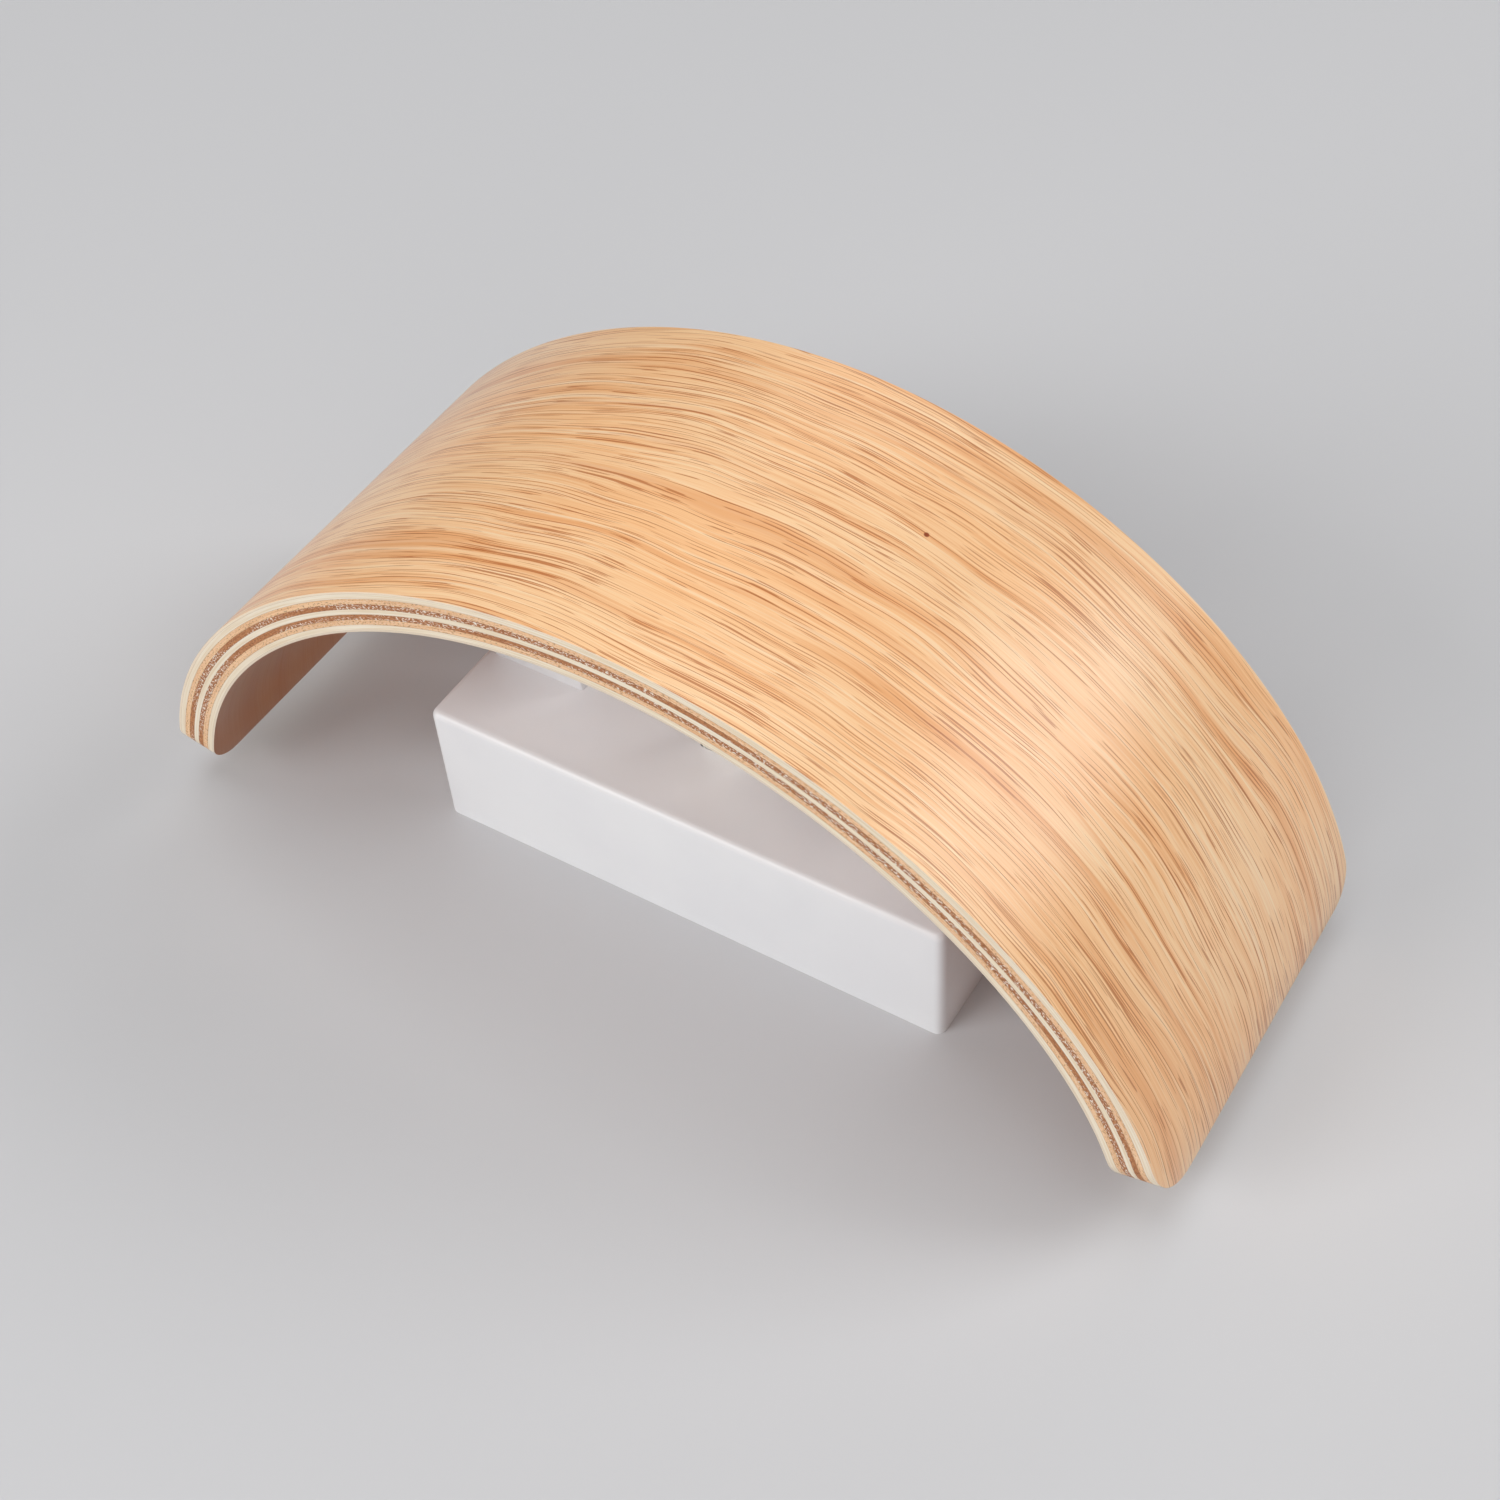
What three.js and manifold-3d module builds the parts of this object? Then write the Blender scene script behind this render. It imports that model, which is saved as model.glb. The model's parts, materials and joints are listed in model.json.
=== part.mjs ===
// Bentwood wall light: an oak-faced moulded-plywood shade, arched over a white sheet-steel
// box. Two uprights carry the shade, a small plug-in lamp stands between them, and the box
// hangs on a steel wall bracket.
// Millimetres. The wall side is z = 0 and +Z points into the room, +X runs along the arch,
// and the origin is the middle of the wall side.
import * as THREE from 'three';
import { mergeVertices } from 'three/addons/utils/BufferGeometryUtils.js';
import Module from 'manifold-3d';

const wasm = await Module();
wasm.setup();

// ---------------------------------------------------------------- driving dimensions
// Shade: one laminated strip, pressed into an arch that is tighter towards its ends.
const SHADE_TOP = 123.5;
const SHADE_WIDTH = 107.1;
const SHADE_HALF_LENGTH = 196.9; // along the outer face, from the crown to one end
const SHADE_CORNER = 9;
const CURVATURE = [0.00667, -0.00314, 0.00749]; // 1/mm, terms in u^0, u^2 and u^4
const VENEER = 0.6;
const PLY = 1.5;
const PLY_COUNT = 7;
const SHADE_THICKNESS = 2 * VENEER + PLY_COUNT * PLY;

// Box: five-sided steel cover, open towards the wall.
const BOX_LENGTH = 150.1;
const BOX_WIDTH = 56.4;
const BOX_HEIGHT = 39;
const BOX_WALL = 1.5;
const BOX_EDGE = 2;

// Uprights, and the curved saddles between them and the shade.
const UPRIGHT_INNER_X = 44;
const UPRIGHT_OUTER_X = 72;
const UPRIGHT_THICKNESS = 6;
const SADDLE_THICKNESS = 2;
const SADDLE_WIDTH = 26;
const SADDLE_SCREW_Y = 8.5;
const FOOT_SCREW_X = [51, 65];

// Wall bracket and the two locking screws in the box's ends.
const BRACKET_THICKNESS = 1.5;
const BRACKET_WIDTH = 32;
const EAR_WIDTH = 18;
const EAR_HEIGHT = 12;
const LOCK_Z = 5.5;
const CABLE_HOLE = 9;
const WALL_SLOT_X = 40;
const WALL_SLOT_LENGTH = 15;
const WALL_SLOT_WIDTH = 5.4;

// Lamp holder, lamp and wiring.
const HOLDER_TOP = 57;
const HOLDER_BOTTOM = 31;
const HOLDER_HALF = new THREE.Vector2(7.5, 4);
const HOLDER_CORNER = 1.5;
const HOLDER_FLANGE = 2;
const HOLDER_SCREW_X = 12.5;
const PIN_X = 4.5;
const LAMP_RADIUS = 7.5;
const LAMP_TOP = 97;
const STRAP_BOTTOM = 36;
const BLOCK_X = 30;
const BLOCK_LENGTH = 16;
const BLOCK_WIDTH = 28;
const BLOCK_BOTTOM = 24;
const POLE_PITCH = 9;
const EARTH_STUD = new THREE.Vector2(-30, 12);
const LEAD_RADIUS = 1;

// Screw radii, and the gaps between neighbours.
const M3 = 1.5;
const M4 = 2;
const GAP = 0.3;

const CEILING = BOX_HEIGHT - BOX_WALL; // inner face of the box's front panel
const BOX_END = BOX_LENGTH / 2;
const OVERCUT = 5; // how far a cutting tool runs past the face it cuts

// ---------------------------------------------------------------- finishes
const FINISHES = {
  oak: { color: 0xf0c08c, roughness: 0.5, metalness: 0 },
  birch: { color: 0xebd9c2, roughness: 0.7, metalness: 0 },
  poplar: { color: 0xdcb691, roughness: 0.7, metalness: 0 },
  darkPly: { color: 0xa06e4e, roughness: 0.8, metalness: 0 },
  whitePaint: { color: 0xe6e6e8, roughness: 0.3, metalness: 0 },
  zinc: { color: 0xb9bcc0, roughness: 0.35, metalness: 1 },
  brass: { color: 0xc9a24b, roughness: 0.3, metalness: 1 },
  ceramic: { color: 0xf1efe9, roughness: 0.4, metalness: 0 },
  opal: { color: 0xf6f5f0, roughness: 0.3, metalness: 0 },
  nylon: { color: 0xece9dd, roughness: 0.5, metalness: 0 },
  rubber: { color: 0x2a2a2b, roughness: 0.8, metalness: 0 },
  brown: { color: 0x6b4226, roughness: 0.5, metalness: 0 },
  blue: { color: 0x2f6fb5, roughness: 0.5, metalness: 0 },
  green: { color: 0x4f9a3c, roughness: 0.5, metalness: 0 },
};

const light = new THREE.Group();

function add(name, finish, geometry, parent = light) {
  const mesh = new THREE.Mesh(geometry, new THREE.MeshStandardMaterial(FINISHES[finish]));
  mesh.name = name;
  parent.add(mesh);
  return mesh;
}

// ---------------------------------------------------------------- solids and booleans
function solidOf(geometry) {
  const bare = geometry.clone();
  bare.deleteAttribute('normal');
  bare.deleteAttribute('uv');
  const merged = mergeVertices(bare, 1e-4);
  const corners = merged.index.array;
  const triangles = [];
  for (let i = 0; i < corners.length; i += 3) {
    const [a, b, c] = [corners[i], corners[i + 1], corners[i + 2]];
    if (a !== b && b !== c && c !== a) triangles.push(a, b, c);
  }
  return new wasm.Manifold(new wasm.Mesh({
    numProp: 3,
    vertProperties: Float32Array.from(merged.attributes.position.array),
    triVerts: Uint32Array.from(triangles),
  }));
}

function geometryOf(solid) {
  const mesh = solid.getMesh();
  const geometry = new THREE.BufferGeometry();
  geometry.setAttribute('position', new THREE.BufferAttribute(mesh.vertProperties, 3));
  geometry.setIndex(new THREE.BufferAttribute(mesh.triVerts, 1));
  geometry.computeVertexNormals();
  return geometry;
}

function cut(base, ...tools) {
  let solid = solidOf(base);
  for (const tool of tools) solid = solid.subtract(solidOf(tool));
  return geometryOf(solid);
}

function join(base, ...others) {
  let solid = solidOf(base);
  for (const other of others) solid = solid.add(solidOf(other));
  return geometryOf(solid);
}

// ---------------------------------------------------------------- shape helpers
function box(x0, x1, y0, y1, z0, z1) {
  const geometry = new THREE.BoxGeometry(x1 - x0, y1 - y0, z1 - z0);
  return geometry.translate((x0 + x1) / 2, (y0 + y1) / 2, (z0 + z1) / 2);
}

// A round bar along Z.
function rod(radius, z0, z1, sides = 16) {
  const geometry = new THREE.CylinderGeometry(radius, radius, z1 - z0, sides);
  return geometry.rotateX(Math.PI / 2).translate(0, 0, (z0 + z1) / 2);
}

// A round bar along X.
function rodX(radius, x0, x1, sides = 16) {
  return rod(radius, x0, x1, sides).rotateY(Math.PI / 2);
}

// A turned piece about Z from [radius, z] points that run upwards.
function turned(points, sides = 12) {
  const profile = points.map(([radius, z]) => new THREE.Vector2(radius, z));
  return new THREE.LatheGeometry(profile, sides).rotateX(Math.PI / 2);
}

function roundedRectangle(halfX, halfY, radius) {
  const shape = new THREE.Shape();
  shape.moveTo(halfX, radius - halfY);
  shape.absarc(halfX - radius, halfY - radius, radius, 0, Math.PI / 2);
  shape.absarc(radius - halfX, halfY - radius, radius, Math.PI / 2, Math.PI);
  shape.absarc(radius - halfX, radius - halfY, radius, Math.PI, 1.5 * Math.PI);
  shape.absarc(halfX - radius, radius - halfY, radius, 1.5 * Math.PI, 2 * Math.PI);
  return shape;
}

function slab(shape, z0, z1, curveSegments = 4) {
  const options = { depth: z1 - z0, bevelEnabled: false, curveSegments };
  return new THREE.ExtrudeGeometry(shape, options).translate(0, 0, z0);
}

// A block with rounded upright edges.
function block(halfX, halfY, radius, z0, z1) {
  return slab(roundedRectangle(halfX, halfY, radius), z0, z1);
}

// The cutter for the opening that the lamp holder stands in.
function holderOpening(z0, z1) {
  return block(HOLDER_HALF.x + GAP, HOLDER_HALF.y + GAP, HOLDER_CORNER, z0, z1);
}

// A six-sided nut about Z, already bored.
function nut(acrossFlats, thread, z0, z1) {
  const hexagon = rod(acrossFlats / Math.sqrt(3), z0, z1, 6);
  return cut(hexagon, rod(thread + GAP, z0 - OVERCUT, z1 + OVERCUT));
}

// A pan-head screw along Z: the head sits above z = 0 and the shank hangs below it.
function panScrew(thread, length) {
  const head = 2 * thread;
  const height = 1.2 * thread;
  return turned([
    [0, -length], [thread - 0.4, -length], [thread, 0.6 - length], [thread, 0],
    [head, 0], [head, 0.55 * height], [0.8 * head, 0.85 * height], [0, height],
  ]);
}

// ---------------------------------------------------------------- the arch
// Slope of the outer face, in radians, at a distance s along it from the crown.
function slopeAt(s) {
  const u = s / SHADE_HALF_LENGTH;
  const [flat, square, fourth] = CURVATURE;
  return SHADE_HALF_LENGTH * (flat * u + square * u ** 3 / 3 + fourth * u ** 5 / 5);
}

// Point [x, z] at a distance s along the outer face and a depth below it.
function shadePoint(s, depth) {
  const steps = 80;
  let x = 0;
  let drop = 0;
  for (let i = 0; i < steps; i += 1) {
    const slope = slopeAt((i + 0.5) * s / steps);
    x += Math.cos(slope) * s / steps;
    drop += Math.sin(slope) * s / steps;
  }
  const slope = slopeAt(s);
  return [x - depth * Math.sin(slope), SHADE_TOP - drop - depth * Math.cos(slope)];
}

// The distance along the arch at which the face at this depth stands over x.
function distanceOver(x, depth) {
  let low = -SHADE_HALF_LENGTH;
  let high = SHADE_HALF_LENGTH;
  while (high - low > 1e-6) {
    const middle = (low + high) / 2;
    if (shadePoint(middle, depth)[0] < x) low = middle;
    else high = middle;
  }
  return (low + high) / 2;
}

// A strip that follows the arch, made by pressing a flat board to the mould.
function bentStrip(distances, halfWidthAt, outerDepth, innerDepth) {
  const spans = distances.length - 1;
  const board = new THREE.BoxGeometry(spans, 2, 2, spans, 1, 1);
  const position = board.attributes.position;
  for (let i = 0; i < position.count; i += 1) {
    const s = distances[Math.round(position.getX(i) + spans / 2)];
    const [x, z] = shadePoint(s, position.getZ(i) > 0 ? outerDepth : innerDepth);
    position.setXYZ(i, x, position.getY(i) * halfWidthAt(s), z);
  }
  return board;
}

function spread(from, to, spans) {
  return Array.from({ length: spans + 1 }, (_, i) => from + (to - from) * i / spans);
}

// Half the shade's width, less where its corners are rounded.
function shadeHalfWidth(s) {
  const past = Math.max(0, Math.abs(s) - (SHADE_HALF_LENGTH - SHADE_CORNER));
  const reach = Math.sqrt(Math.max(0, SHADE_CORNER ** 2 - past ** 2));
  return SHADE_WIDTH / 2 - SHADE_CORNER + reach;
}

const cornerDistances = spread(0, Math.PI / 2, 5).map(
  (angle) => SHADE_HALF_LENGTH - SHADE_CORNER * (1 - Math.sin(angle)),
);
const shadeDistances = [
  ...cornerDistances.toReversed().map((s) => -s),
  ...spread(-cornerDistances[0], cornerDistances[0], 44).slice(1, -1),
  ...cornerDistances,
];

// A group whose origin lies on the arch at this depth, with Z along the arch's outward normal.
function onArch(s, depth, y) {
  const group = new THREE.Group();
  const [x, z] = shadePoint(s, depth);
  group.position.set(x, y, z);
  group.rotation.y = slopeAt(s);
  group.updateMatrix();
  light.add(group);
  return group;
}

// ---------------------------------------------------------------- shade fixings
const saddleDepth = SHADE_THICKNESS + GAP;
const uprightDepth = saddleDepth + SADDLE_THICKNESS + GAP;
const sides = [{ name: 'left', sign: -1 }, { name: 'right', sign: 1 }];
const SADDLE_MIDDLE_X = (UPRIGHT_INNER_X + UPRIGHT_OUTER_X) / 2;
const WOOD_SCREW_REACH = VENEER + 4 * PLY - GAP; // the tip stops inside the fourth ply from below

const woodScrewPlaces = sides.flatMap(({ sign }) => [-1, 1].map((row) => ({
  s: distanceOver(sign * SADDLE_MIDDLE_X, saddleDepth),
  y: row * SADDLE_SCREW_Y,
})));

function holeAt({ s, y }, radius, depth) {
  const place = onArch(s, depth, y);
  light.remove(place);
  return rod(radius, -OVERCUT, OVERCUT, 12).applyMatrix4(place.matrix);
}

function drillForShadeScrews(geometry, depth) {
  return cut(geometry, ...woodScrewPlaces.map((place) => holeAt(place, M3 + GAP, depth)));
}

// ---------------------------------------------------------------- shade
const layers = [{ name: 'outer_oak_veneer', finish: 'oak', thickness: VENEER }];
const plyFinishes = ['birch', 'poplar', 'darkPly', 'birch', 'darkPly', 'poplar', 'birch'];
plyFinishes.forEach((finish, i) => layers.push({ name: `core_ply_${i + 1}`, finish, thickness: PLY }));
layers.push({ name: 'inner_oak_veneer', finish: 'oak', thickness: VENEER });

const drilledFrom = SHADE_THICKNESS - VENEER - 4 * PLY - 1e-6;
let layerDepth = 0;
for (const { name, finish, thickness } of layers) {
  const sheet = bentStrip(shadeDistances, shadeHalfWidth, layerDepth, layerDepth + thickness);
  const drilled = layerDepth > drilledFrom;
  add(name, finish, drilled ? drillForShadeScrews(sheet, layerDepth + thickness / 2) : sheet);
  layerDepth += thickness;
}

// ---------------------------------------------------------------- saddles and uprights
function countersunkScrew(length) {
  return turned([
    [0, -length], [M3 - 0.4, -length], [M3, 0.6 - length], [M3, -1.6], [2.9, -0.2], [2.9, 0], [0, 0],
  ]);
}

function countersink(matrix) {
  const tool = turned([[0, -20], [M3 + GAP, -20], [M3 + GAP, -1.6], [3.5, 0], [3.5, 2], [0, 2]]);
  return tool.applyMatrix4(matrix);
}

for (const { name, sign } of sides) {
  const ends = [UPRIGHT_INNER_X, UPRIGHT_OUTER_X].map((x) => sign * x).sort((a, b) => a - b);

  const reach = ends.map((x) => distanceOver(x, saddleDepth));
  const pad = bentStrip(
    spread(reach[0], reach[1], 6), () => SADDLE_WIDTH / 2, saddleDepth, saddleDepth + SADDLE_THICKNESS,
  );
  const middle = distanceOver(sign * SADDLE_MIDDLE_X, saddleDepth);
  const screwPlace = onArch(middle, saddleDepth, 0);
  const sunk = countersink(screwPlace.matrix);
  add(`${name}_saddle`, 'zinc', drillForShadeScrews(cut(pad, sunk), saddleDepth));
  add(`${name}_saddle_screw`, 'zinc', countersunkScrew(12), screwPlace);

  const outline = new THREE.Shape();
  outline.moveTo(ends[0], BOX_HEIGHT);
  outline.lineTo(ends[1], BOX_HEIGHT);
  for (const x of spread(ends[1], ends[0], 6)) {
    outline.lineTo(x, shadePoint(distanceOver(x, uprightDepth), uprightDepth)[1]);
  }
  const bar = new THREE.ExtrudeGeometry(outline, { depth: UPRIGHT_THICKNESS, bevelEnabled: false });
  bar.rotateX(Math.PI / 2).translate(0, UPRIGHT_THICKNESS / 2, 0);
  const tapped = FOOT_SCREW_X.map(
    (x) => rod(M4 + GAP, BOX_HEIGHT - OVERCUT, BOX_HEIGHT + 9, 12).translate(sign * x, 0, 0),
  );
  add(`${name}_upright`, 'whitePaint', cut(bar, sunk, ...tapped));

  FOOT_SCREW_X.forEach((x, i) => {
    const screw = panScrew(M4, BOX_WALL + 8).rotateX(Math.PI);
    add(`${name}_foot_screw_${i + 1}`, 'zinc', screw).position.set(sign * x, 0, CEILING);
  });
}

woodScrewPlaces.forEach(({ s, y }, i) => {
  const place = onArch(s, saddleDepth + SADDLE_THICKNESS + GAP, y);
  const length = SADDLE_THICKNESS + 2 * GAP + WOOD_SCREW_REACH;
  add(`shade_screw_${i + 1}`, 'zinc', panScrew(M3, length).rotateX(Math.PI), place);
});

// ---------------------------------------------------------------- box
const boxOptions = {
  depth: BOX_HEIGHT + OVERCUT - 2 * BOX_EDGE,
  bevelThickness: BOX_EDGE,
  bevelSize: BOX_EDGE,
  bevelSegments: 3,
  curveSegments: 2,
};
const boxOutline = roundedRectangle(BOX_END - BOX_EDGE, BOX_WIDTH / 2 - BOX_EDGE, 0.5);
const boxBlank = new THREE.ExtrudeGeometry(boxOutline, boxOptions).translate(0, 0, BOX_EDGE - OVERCUT);
const boxHollow = block(BOX_END - BOX_WALL, BOX_WIDTH / 2 - BOX_WALL, 1, -2 * OVERCUT, CEILING);
const boxOpenings = [
  box(-BOX_LENGTH, BOX_LENGTH, -BOX_WIDTH, BOX_WIDTH, -2 * OVERCUT, 0),
  boxHollow,
  holderOpening(CEILING - OVERCUT, BOX_HEIGHT + OVERCUT),
];
for (const { sign } of sides) {
  for (const x of FOOT_SCREW_X) {
    boxOpenings.push(rod(M4 + GAP, CEILING - 1, BOX_HEIGHT + 1, 12).translate(sign * x, 0, 0));
  }
  boxOpenings.push(rod(M3 + GAP, CEILING - 1, BOX_HEIGHT + 1, 12).translate(sign * HOLDER_SCREW_X, 0, 0));
  const wallHole = rodX(M4 + GAP, -OVERCUT, OVERCUT, 12);
  boxOpenings.push(wallHole.translate(sign * BOX_END, 0, LOCK_Z));
}
add('box_cover', 'whitePaint', cut(boxBlank, ...boxOpenings));

// ---------------------------------------------------------------- wall bracket
function slot(x) {
  const straight = (WALL_SLOT_LENGTH - WALL_SLOT_WIDTH) / 2;
  const path = new THREE.Path();
  path.absarc(x + straight, 0, WALL_SLOT_WIDTH / 2, -Math.PI / 2, Math.PI / 2);
  path.absarc(x - straight, 0, WALL_SLOT_WIDTH / 2, Math.PI / 2, 1.5 * Math.PI);
  return path;
}

const earOuterX = BOX_END - BOX_WALL - GAP;
const plateOutline = roundedRectangle(earOuterX, BRACKET_WIDTH / 2, 2);
const cableHole = new THREE.Path();
cableHole.absarc(0, 0, CABLE_HOLE, 0, 2 * Math.PI);
plateOutline.holes.push(cableHole, slot(WALL_SLOT_X), slot(-WALL_SLOT_X));
let bracket = slab(plateOutline, 0, BRACKET_THICKNESS, 6);

const earOutline = new THREE.Shape();
const notch = M4 + 0.4;
earOutline.moveTo(-EAR_WIDTH / 2, 0);
earOutline.lineTo(EAR_WIDTH / 2, 0);
earOutline.lineTo(EAR_WIDTH / 2, EAR_HEIGHT);
earOutline.lineTo(notch, EAR_HEIGHT);
earOutline.absarc(0, LOCK_Z, notch, 0, Math.PI, true);
earOutline.lineTo(-notch, EAR_HEIGHT);
earOutline.lineTo(-EAR_WIDTH / 2, EAR_HEIGHT);
const turnUp = new THREE.Matrix4().makeBasis(
  new THREE.Vector3(0, 1, 0), new THREE.Vector3(0, 0, 1), new THREE.Vector3(1, 0, 0),
);
for (const x of [-earOuterX, earOuterX - BRACKET_THICKNESS]) {
  const ear = slab(earOutline, 0, BRACKET_THICKNESS, 8).applyMatrix4(turnUp).translate(x, 0, 0);
  bracket = join(bracket, ear);
}
add('wall_bracket', 'zinc', bracket);

const bush = CABLE_HOLE - GAP;
add('cable_grommet', 'rubber', turned([
  [5, 0.4], [bush, 0.4], [bush, BRACKET_THICKNESS + GAP], [11.5, BRACKET_THICKNESS + GAP],
  [11.5, 3.2], [10.9, 3.8], [5.6, 3.8], [5, 3.2], [5, 0.4],
], 18));

// ---------------------------------------------------------------- locking screws and nuts
for (const { name, sign } of sides) {
  const driverSlot = box(-0.6, 0.6, -6, 6, 1.4, 4);
  const screw = cut(panScrew(M4, BOX_END - 64.5), driverSlot).rotateY(sign * Math.PI / 2);
  const screwMesh = add(`${name}_locking_screw`, 'whitePaint', screw);
  screwMesh.position.set(sign * (BOX_END + GAP / 2), 0, LOCK_Z);

  const square = box(-3.5, 3.5, -3.5, 3.5, 0, 3.2);
  const lockingNut = cut(square, rod(M4 + GAP, -1, OVERCUT)).rotateY(sign * Math.PI / 2);
  add(`${name}_locking_nut`, 'zinc', lockingNut).position.set(sign * 68.2, 0, LOCK_Z);
}

// ---------------------------------------------------------------- lamp holder
const flangeBottom = STRAP_BOTTOM - HOLDER_FLANGE;
const holderBody = join(
  block(HOLDER_HALF.x, HOLDER_HALF.y, HOLDER_CORNER, HOLDER_BOTTOM, HOLDER_TOP),
  block(16, 7, 2.5, flangeBottom, STRAP_BOTTOM),
);
const holderCuts = [-1, 1].flatMap((side) => [
  box(-2.1, 2.1, -1.1, 1.1, HOLDER_TOP - 10, HOLDER_TOP + 1).translate(side * PIN_X, 0, 0),
  rod(LEAD_RADIUS + 0.4, HOLDER_BOTTOM - 1, HOLDER_BOTTOM + 5, 12).translate(side * PIN_X, 0, 0),
  rod(M3 + GAP, flangeBottom - 1, STRAP_BOTTOM + 1, 12).translate(side * HOLDER_SCREW_X, 0, 0),
]);
add('lamp_holder', 'ceramic', cut(holderBody, ...holderCuts));

const strapOutline = new THREE.Shape();
strapOutline.moveTo(-18, -9);
strapOutline.lineTo(42, -9);
strapOutline.lineTo(42, 9);
strapOutline.lineTo(-18, 9);
const strapCuts = [
  holderOpening(STRAP_BOTTOM - 1, BOX_HEIGHT),
  rod(1.5, STRAP_BOTTOM - 1, BOX_HEIGHT, 12).translate(BLOCK_X, POLE_PITCH / 2, 0),
  ...[-1, 1].map((side) => rod(M3 + GAP, STRAP_BOTTOM - 1, BOX_HEIGHT, 12)
    .translate(side * HOLDER_SCREW_X, 0, 0)),
];
add('inner_strap', 'zinc', cut(slab(strapOutline, STRAP_BOTTOM, CEILING), ...strapCuts));

for (const { name, sign } of sides) {
  const screw = add(`${name}_holder_screw`, 'zinc', panScrew(M3, 9.5));
  screw.position.set(sign * HOLDER_SCREW_X, 0, BOX_HEIGHT);
  const holderNut = nut(5.5, M3, flangeBottom - 2.4, flangeBottom);
  add(`${name}_holder_nut`, 'zinc', holderNut).position.x = sign * HOLDER_SCREW_X;
}

// ---------------------------------------------------------------- plug-in lamp
const lampSeat = HOLDER_TOP + GAP;
const LAMP_BASE_TOP = 68;
add('lamp_base', 'ceramic', block(7, 5, 2, lampSeat, LAMP_BASE_TOP));

function domePoints(radius, top, steps, bottom) {
  const rise = spread(0, Math.PI / 2, steps);
  const curve = rise.map((angle) => [radius * Math.cos(angle), top - radius * (1 - Math.sin(angle))]);
  curve[steps][0] = 0;
  return [[radius, bottom], ...curve];
}

const opalWall = 1;
const opalFoot = LAMP_BASE_TOP + GAP;
const outerDome = turned([[0, opalFoot], ...domePoints(LAMP_RADIUS, LAMP_TOP, 5, opalFoot)], 16);
const innerDome = turned([
  [0, opalFoot - 1],
  ...domePoints(LAMP_RADIUS - opalWall, LAMP_TOP - opalWall, 4, opalFoot - 1),
], 16);
add('lamp_capsule', 'opal', cut(outerDome, innerDome));
add('lamp_led_strip', 'nylon', box(-3, 3, -0.8, 0.8, LAMP_BASE_TOP, 91));

for (const { name, sign } of sides) {
  const [half, top, bottom] = [1.1, lampSeat, 51];
  const loop = new THREE.CurvePath();
  const corner = (x, z) => new THREE.Vector3(x, 0, z);
  loop.add(new THREE.LineCurve3(corner(-half, top), corner(-half, bottom)));
  loop.add(new THREE.CubicBezierCurve3(
    corner(-half, bottom), corner(-half, bottom - 1.5), corner(half, bottom - 1.5), corner(half, bottom),
  ));
  loop.add(new THREE.LineCurve3(corner(half, bottom), corner(half, top)));
  const wire = new THREE.Shape().absarc(0, 0, 0.45, 0, 2 * Math.PI);
  const options = { steps: 12, extrudePath: loop, curveSegments: 3 };
  add(`lamp_pin_${name}`, 'zinc', new THREE.ExtrudeGeometry(wire, options)).position.x = sign * PIN_X;
}

// ---------------------------------------------------------------- terminal block and earth stud
const poleZ = BLOCK_BOTTOM + (STRAP_BOTTOM - BLOCK_BOTTOM) / 2;
const poles = [-POLE_PITCH, 0, POLE_PITCH];
const blockEnds = [BLOCK_X - BLOCK_LENGTH / 2, BLOCK_X + BLOCK_LENGTH / 2];
const blockBody = block(BLOCK_LENGTH / 2, BLOCK_WIDTH / 2, 1, BLOCK_BOTTOM, STRAP_BOTTOM);
const blockCuts = poles.map((y) => rodX(2.9, -BLOCK_LENGTH, BLOCK_LENGTH, 12).translate(0, y, poleZ));
blockCuts.push(rod(1.5, BLOCK_BOTTOM - 1, STRAP_BOTTOM + 1, 12).translate(0, POLE_PITCH / 2, 0));
add('terminal_block', 'nylon', cut(blockBody, ...blockCuts)).position.x = BLOCK_X;
poles.forEach((y, i) => {
  const tube = cut(rodX(2.6, blockEnds[0] + 1, blockEnds[1] - 1, 12), rodX(1.6, 0, 2 * BLOCK_X, 12));
  add(`terminal_tube_${i + 1}`, 'brass', tube).position.set(0, y, poleZ);
});
const blockScrew = panScrew(1.2, CEILING - GAP - BLOCK_BOTTOM).rotateX(Math.PI);
add('terminal_block_screw', 'zinc', blockScrew).position.set(BLOCK_X, POLE_PITCH / 2, BLOCK_BOTTOM);

const tagTop = CEILING;
const tagBottom = tagTop - 0.8;
const crimpZ = 35.5;
const crimpEnds = [6, 11];
add('earth_stud', 'brass', rod(M4, 27.5, CEILING)).position.set(EARTH_STUD.x, EARTH_STUD.y, 0);
const earthTag = cut(
  join(
    rod(4, tagBottom, tagTop),
    box(2.5, 7, -1.7, 1.7, tagBottom, tagTop),
    rodX(1.8, ...crimpEnds, 12).translate(0, 0, crimpZ),
  ),
  rod(M4 + GAP, tagBottom - 1, tagTop + 1),
  rodX(LEAD_RADIUS + GAP, crimpEnds[0] + 1, crimpEnds[1] + 1, 12).translate(0, 0, crimpZ),
);
add('earth_tag', 'brass', earthTag).position.set(EARTH_STUD.x, EARTH_STUD.y, 0);
const earthNut = nut(7, M4, tagBottom - 3.2, tagBottom);
add('earth_nut', 'brass', earthNut).position.set(EARTH_STUD.x, EARTH_STUD.y, 0);

// ---------------------------------------------------------------- leads inside the box
function lead(name, finish, points, steps) {
  const route = new THREE.CatmullRomCurve3(points.map(([x, y, z]) => new THREE.Vector3(x, y, z)));
  const section = new THREE.Shape().absarc(0, 0, LEAD_RADIUS, 0, 2 * Math.PI);
  add(name, finish, new THREE.ExtrudeGeometry(section, { steps, extrudePath: route, curveSegments: 4 }));
}

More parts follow.
